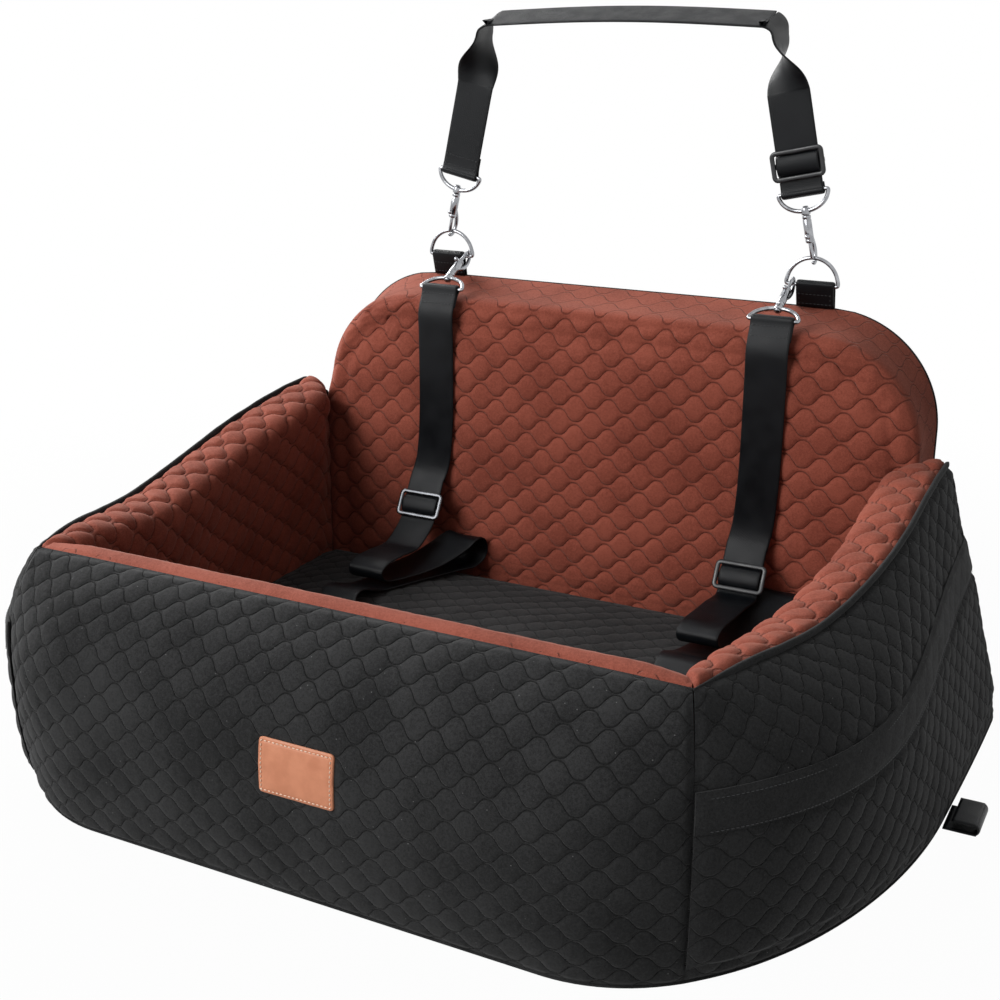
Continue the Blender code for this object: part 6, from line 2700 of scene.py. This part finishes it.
    def build_carry(self) -> None:
        """Make the hand strap with its snaps and its slider."""
        frames = {side: self.carry_frame(side) for side in Side}
        left = self.carry_half(frames[Side.LEFT], self.carry_hem)
        right = self.carry_half(frames[Side.RIGHT], self.carry_tail)
        rows = np.vstack([left, right[-2::-1]])
        for before, row in zip(rows, rows[1:]):
            if row[3:] @ before[3:] < 0.0:
                row[3:] *= -1.0
        line = StrapLine(rows)
        self.wardrobe.settle(line.webbing("hand_strap"), Finish.WEBBING, "handle", "carry_strap")
        start = self.carry_hem + math.pi * self.loop_radius
        rows = line.box(start + 0.007, start + self.carry_hem - self.seam_margin, FORWARD)
        self.sewing.sew("hand_strap_stitches", rows, Finish.BLACK_THREAD, "handle")
        for side, frame in frames.items():
            self.fittings.snap(f"carry_{side.word}", frame, "handle")
        lift = Matrix.Translation((0.0, -self.ply,
                                   self.sizes.snap_length + self.carry_glide_lift))
        self.fittings.slider("carry_slider", frames[Side.RIGHT] @ lift, Finish.PLASTIC)

    def build_tether(self, side: Side, drift: float, lift: float, finish: Finish) -> None:
        """Make one tether: snaps, webbing over the edge and in folds, and its slider.

        Args:
            side: Which side.
            drift: How far the folds wander sideways.
            lift: Height of the slider over the cushion.
            finish: The slider's finish.
        """
        s, p = self.sizes, self.plan
        x0 = side.value * self.tether_x
        turn = (Matrix.Rotation(math.pi / 2 + math.radians(self.tether_tilt_deg), 4, "X")
                @ Matrix.Rotation(math.pi, 4, "Z"))
        frame = (Matrix.Translation((x0, s.ring_y, s.ring_z)) @ turn
                 @ Matrix.Translation((0.0, -s.snap_offset, 0.0)))
        eye = np.array(frame @ Vector((0.0, 0.0, s.snap_length)))
        lay = self.cushion_top + s.gap + self.thickness / 2
        lean = math.radians(self.glide_lean_deg)
        run = np.array([0.0, math.cos(lean), math.sin(lean)])
        front_y = p.back_front_y
        glide = np.array([eye[0] + drift * self.glide_drift,
                          front_y - self.reach * self.glide_forward, lay + lift])
        above = glide + run * self.run_above
        places = [np.array([eye[0] + drift * a, front_y - self.reach * f,
                            above[2] + (eye[2] - above[2]) * h]) for f, h, a in self.drops]
        places += [above, glide, glide - run * self.run_below]
        places += [np.array([eye[0] + drift * a, front_y - self.reach * f,
                             lay + self.fold_height * h]) for f, h, a in self.folds]
        leash_eye = np.array([x0 - drift, front_y - self.reach,
                              self.cushion_top + self.leash_lift])
        along = unit(places[0] - eye)
        toward = unit(np.array([0.0, along[2], -along[1]]))
        head = self.hem_loop(eye, along, toward, self.tether_hem)
        foot = self.hem_loop(leash_eye, Y_AXIS, np.array([0.0, 0.0, -1.0]), self.leash_hem)
        path = np.vstack([head, threaded(np.array(places), 2), foot[::-1]])
        line = StrapLine(np.column_stack([path, np.tile(X_AXIS, (len(path), 1))]))
        body = f"tether_{side.word}"
        self.wardrobe.settle(line.webbing(f"tether_webbing_{side.word}"), Finish.WEBBING, body,
                             f"tether_strap_{side.word}")
        start = self.tether_hem + math.pi * self.loop_radius
        end = line.along[-1] - self.leash_hem - math.pi * self.loop_radius
        near, margin = self.seam_start, self.seam_margin
        rows = line.box(start + near, start + self.tether_hem - margin, toward)
        rows += line.box(end - self.leash_hem + margin, end - near, Z_AXIS)
        self.sewing.sew(f"tether_stitches_{side.word}", rows, Finish.BLACK_THREAD, body)
        self.fittings.snap(body, frame, body)
        down = Matrix.Rotation(-math.pi / 2, 4, "X")
        lower = (Matrix.Translation(Vector(leash_eye)) @ down
                 @ Matrix.Translation((0.0, 0.0, -s.snap_length)))
        self.fittings.snap(f"leash_{side.word}", lower, body, math.pi / 2)
        place = Matrix.Translation(Vector(glide)) @ Matrix.Rotation(lean - math.pi / 2, 4, "X")
        self.fittings.slider(f"tether_slider_{side.word}", place, finish)

    def build_tab(self, side: Side) -> None:
        """Make one ring tab: a strip from the back seam round the ring's bar.

        Args:
            side: Which side.
        """
        s, p = self.sizes, self.plan
        x = side.value * (s.ring_x + self.tab_shift)
        radius = s.ring_wire / 2 + s.gap + self.thickness / 2
        foot_z = p.back_height + s.gap
        points = [(x, self.tab_foot_y - self.tab_foot_depth / 2, foot_z)]
        for turn in np.radians([180.0, 150.0, 120.0, 90.0, 60.0, 30.0, 0.0]):
            points.append((x, s.ring_y + math.cos(turn) * radius,
                           s.ring_z + math.sin(turn) * radius))
        points.append((x, self.tab_foot_y + self.tab_foot_depth / 2, foot_z))
        rows = np.column_stack([np.array(points), np.tile(X_AXIS, (9, 1))])
        line = StrapLine(rows, width=self.tab_width)
        self.wardrobe.settle(line.webbing(f"ring_tab_{side.word}"), Finish.WEBBING, "seat",
                             f"tab_{side.word}")
        stitches = line.box(0.0035, 0.0125, FORWARD)
        self.sewing.sew(f"tab_stitches_{side.word}", stitches, Finish.BLACK_THREAD, "seat")

    def build_base_loop(self, side: Side) -> None:
        """Make one webbing loop that stands out from under the side cover.

        Args:
            side: Which side.
        """
        p = self.plan
        half = self.width / 2
        cuts = [self.side_wall.side_cut(self.base_loop_y + end * half) for end in (-1, 1)]
        foot = max(float(c.rim[0] + c.outer_line()[0, 0]) for c in cuts) + p.skin + p.gap
        low, bend = self.thickness / 2, self.base_loop_bend
        tip = foot + self.base_loop_reach
        points = [(foot, low), (tip - bend, low)]
        for turn in np.radians([-60.0, -30.0, 0.0, 30.0, 60.0, 90.0]):
            points.append((tip - bend + bend * math.cos(turn), low + bend + bend * math.sin(turn)))
        points.append((foot + self.base_loop_foot, low + 2 * bend))
        rows = np.array([(side.value * x, self.base_loop_y, z, 0.0, 1.0, 0.0) for x, z in points])
        loop = StrapLine(rows).webbing(f"anchor_loop_{side.word}")
        self.wardrobe.settle(loop, Finish.WEBBING, "seat", f"base_loop_{side.word}")


# Studio


@dataclass
class Studio:
    """Floor, light and camera."""

    camera_place: tuple[float, float, float] = (0.5269, -0.9806, 0.5869)
    azimuth_deg: float = 27.5
    elevation_deg: float = 18.63
    focal_share: float = 1.4526
    ambient: float = 0.21
    floor_tone: float = 0.32
    floor_white: float = 0.975
    floor_half: float = 9.0
    white_run: tuple[float, float] = (0.6, 1.3)
    sensor: float = 36.0
    lamps: list[tuple[tuple[float, float, float], float, float]] = field(
        default_factory=lambda: [
            ((-1.5, -2.2, 1.8), 1.9, 86.0),
            ((2.2, -1.4, 1.5), 2.0, 1.0),
            ((-1.9, 0.8, 1.45), 1.2, 60.0),
        ]
    )

    def build(self) -> None:
        """Add the floor, the world, the lamps and the camera."""
        self.floor()
        self.world()
        for place, size, power in self.lamps:
            self.lamp(place, size, power)
        self.camera()
        bpy.context.scene.view_settings.view_transform = "Standard"

    @staticmethod
    def background_rays(n: Nodes) -> bpy.types.NodeSocket:
        """Mask of the rays that see the plain white background.

        Args:
            n: The tree's helper.

        Returns:
            The mask's socket.
        """
        rays = n.add("ShaderNodeLightPath")
        seen = n.math("MAXIMUM", rays.outputs["Is Camera Ray"], rays.outputs["Is Glossy Ray"])
        return n.math("MAXIMUM", seen, rays.outputs["Is Transmission Ray"])

    def floor(self) -> None:
        """Add the pale floor: white to the camera, but for the seat's shadow."""
        points = np.array([(-1, -1, 0), (1, -1, 0), (1, 1, 0), (-1, 1, 0)]) * self.floor_half
        floor = mesh_object("floor", points, [(0, 1, 2, 3)], smooth=False)
        material, n, shader = start_material("pale_floor")
        tone = (self.floor_tone,) * 3
        n.fill(shader, {"Base Color": (*tone, 1.0), "Roughness": 0.9, "Specular IOR Level": 0.0})
        glow = n.add("ShaderNodeEmission", {"Strength": 1.0}).outputs[0]
        place = n.add("ShaderNodeTexCoord").outputs["Object"]
        length = n.add("ShaderNodeVectorMath", {0: place}, operation="LENGTH").outputs["Value"]
        white = n.span(length, *self.white_run, self.floor_white, 1.0)
        seen = n.math("MULTIPLY", self.background_rays(n), white)
        mix = n.add("ShaderNodeMixShader", {0: seen, 1: shader.outputs[0], 2: glow})
        out = next(node for node in n.tree.nodes if node.type == "OUTPUT_MATERIAL")
        n.link(mix.outputs[0], out.inputs[0])
        floor.data.materials.append(material)

    def world(self) -> None:
        """Make the world white to the camera and soft to the object."""
        world = bpy.data.worlds.new("studio")
        bpy.context.scene.world = world
        world.use_nodes = True
        n = Nodes(world.node_tree)
        n.tree.nodes.clear()
        mix = n.add("ShaderNodeMixShader")
        n.link(self.background_rays(n), mix.inputs[0])
        for strength, socket in ((self.ambient, mix.inputs[1]), (1.0, mix.inputs[2])):
            values = {"Color": (1.0, 1.0, 1.0, 1.0), "Strength": strength}
            light = n.add("ShaderNodeBackground", values)
            n.link(light.outputs[0], socket)
        n.link(mix.outputs[0], n.add("ShaderNodeOutputWorld").inputs[0])

    @staticmethod
    def lamp(place: tuple[float, float, float], size: float, power: float) -> None:
        """Add one soft square lamp aimed at the seat.

        Args:
            place: Where it hangs.
            size: Its side.
            power: Its strength in watts.
        """
        data = bpy.data.lights.new("soft_lamp", "AREA")
        data.size = size
        data.energy = power
        lamp = bpy.data.objects.new("soft_lamp", data)
        lamp.location = place
        aim = Vector((0.0, 0.0, 0.2)) - Vector(place)
        lamp.rotation_euler = aim.to_track_quat("-Z", "Y").to_euler()
        bpy.context.scene.collection.objects.link(lamp)

    def camera(self) -> None:
        """Add the camera at the photograph's angle."""
        data = bpy.data.cameras.new("view")
        data.sensor_width = data.sensor_height = self.sensor
        data.lens = self.sensor * self.focal_share
        camera = bpy.data.objects.new("view", data)
        a, e = math.radians(self.azimuth_deg), math.radians(self.elevation_deg)
        back = Vector((math.sin(a) * math.cos(e), -math.cos(a) * math.cos(e), math.sin(e)))
        camera.location = self.camera_place
        camera.rotation_mode = "QUATERNION"
        camera.rotation_quaternion = (-back).to_track_quat("-Z", "Y")
        bpy.context.scene.collection.objects.link(camera)
        bpy.context.scene.camera = camera


def corners(box: Iterable[Vector]) -> list[list[float]]:
    """Turn a box's two corners into plain lists."""
    return [[float(x) for x in corner] for corner in box]


def main() -> None:
    """Build the looks in order."""
    logging.basicConfig(level=logging.INFO, format="%(message)s")
    for obj in list(bpy.data.objects):
        bpy.data.objects.remove(obj)
    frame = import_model()
    wardrobe = Wardrobe()
    sewing = Sewing(wardrobe)
    plan = SeatPlan()
    front = FrontWall(plan, wardrobe)
    side_wall = SideWall(plan, wardrobe)
    patch = LeatherPatch()
    patch.build(front.build(patch), sewing, wardrobe)
    for side in Side:
        side_wall.build(side, sewing)
    Backrest(plan, wardrobe).build()
    Cushion(plan, wardrobe).build()
    BasePanel(plan, front, side_wall, wardrobe).build()
    sizes = Hardware()
    fittings = Fittings(sizes, wardrobe)
    fittings.rings()
    straps = Straps(plan, sizes, wardrobe, fittings, sewing, side_wall)
    straps.build_carry()
    straps.build_tether(Side.LEFT, 0.016, 0.0586, Finish.DULL_METAL)
    straps.build_tether(Side.RIGHT, 0.012, 0.0416, Finish.PLASTIC)
    for side in Side:
        straps.build_tab(side)
        straps.build_base_loop(side)
    for name, node in frame["nodes"].items():
        if not node.hide_render:
            wardrobe.dress(node, Finish.BLACK_CLOTH)
            LOG.info("kept %s", name)
    Studio().build()


if __name__ == "__main__":
    main()
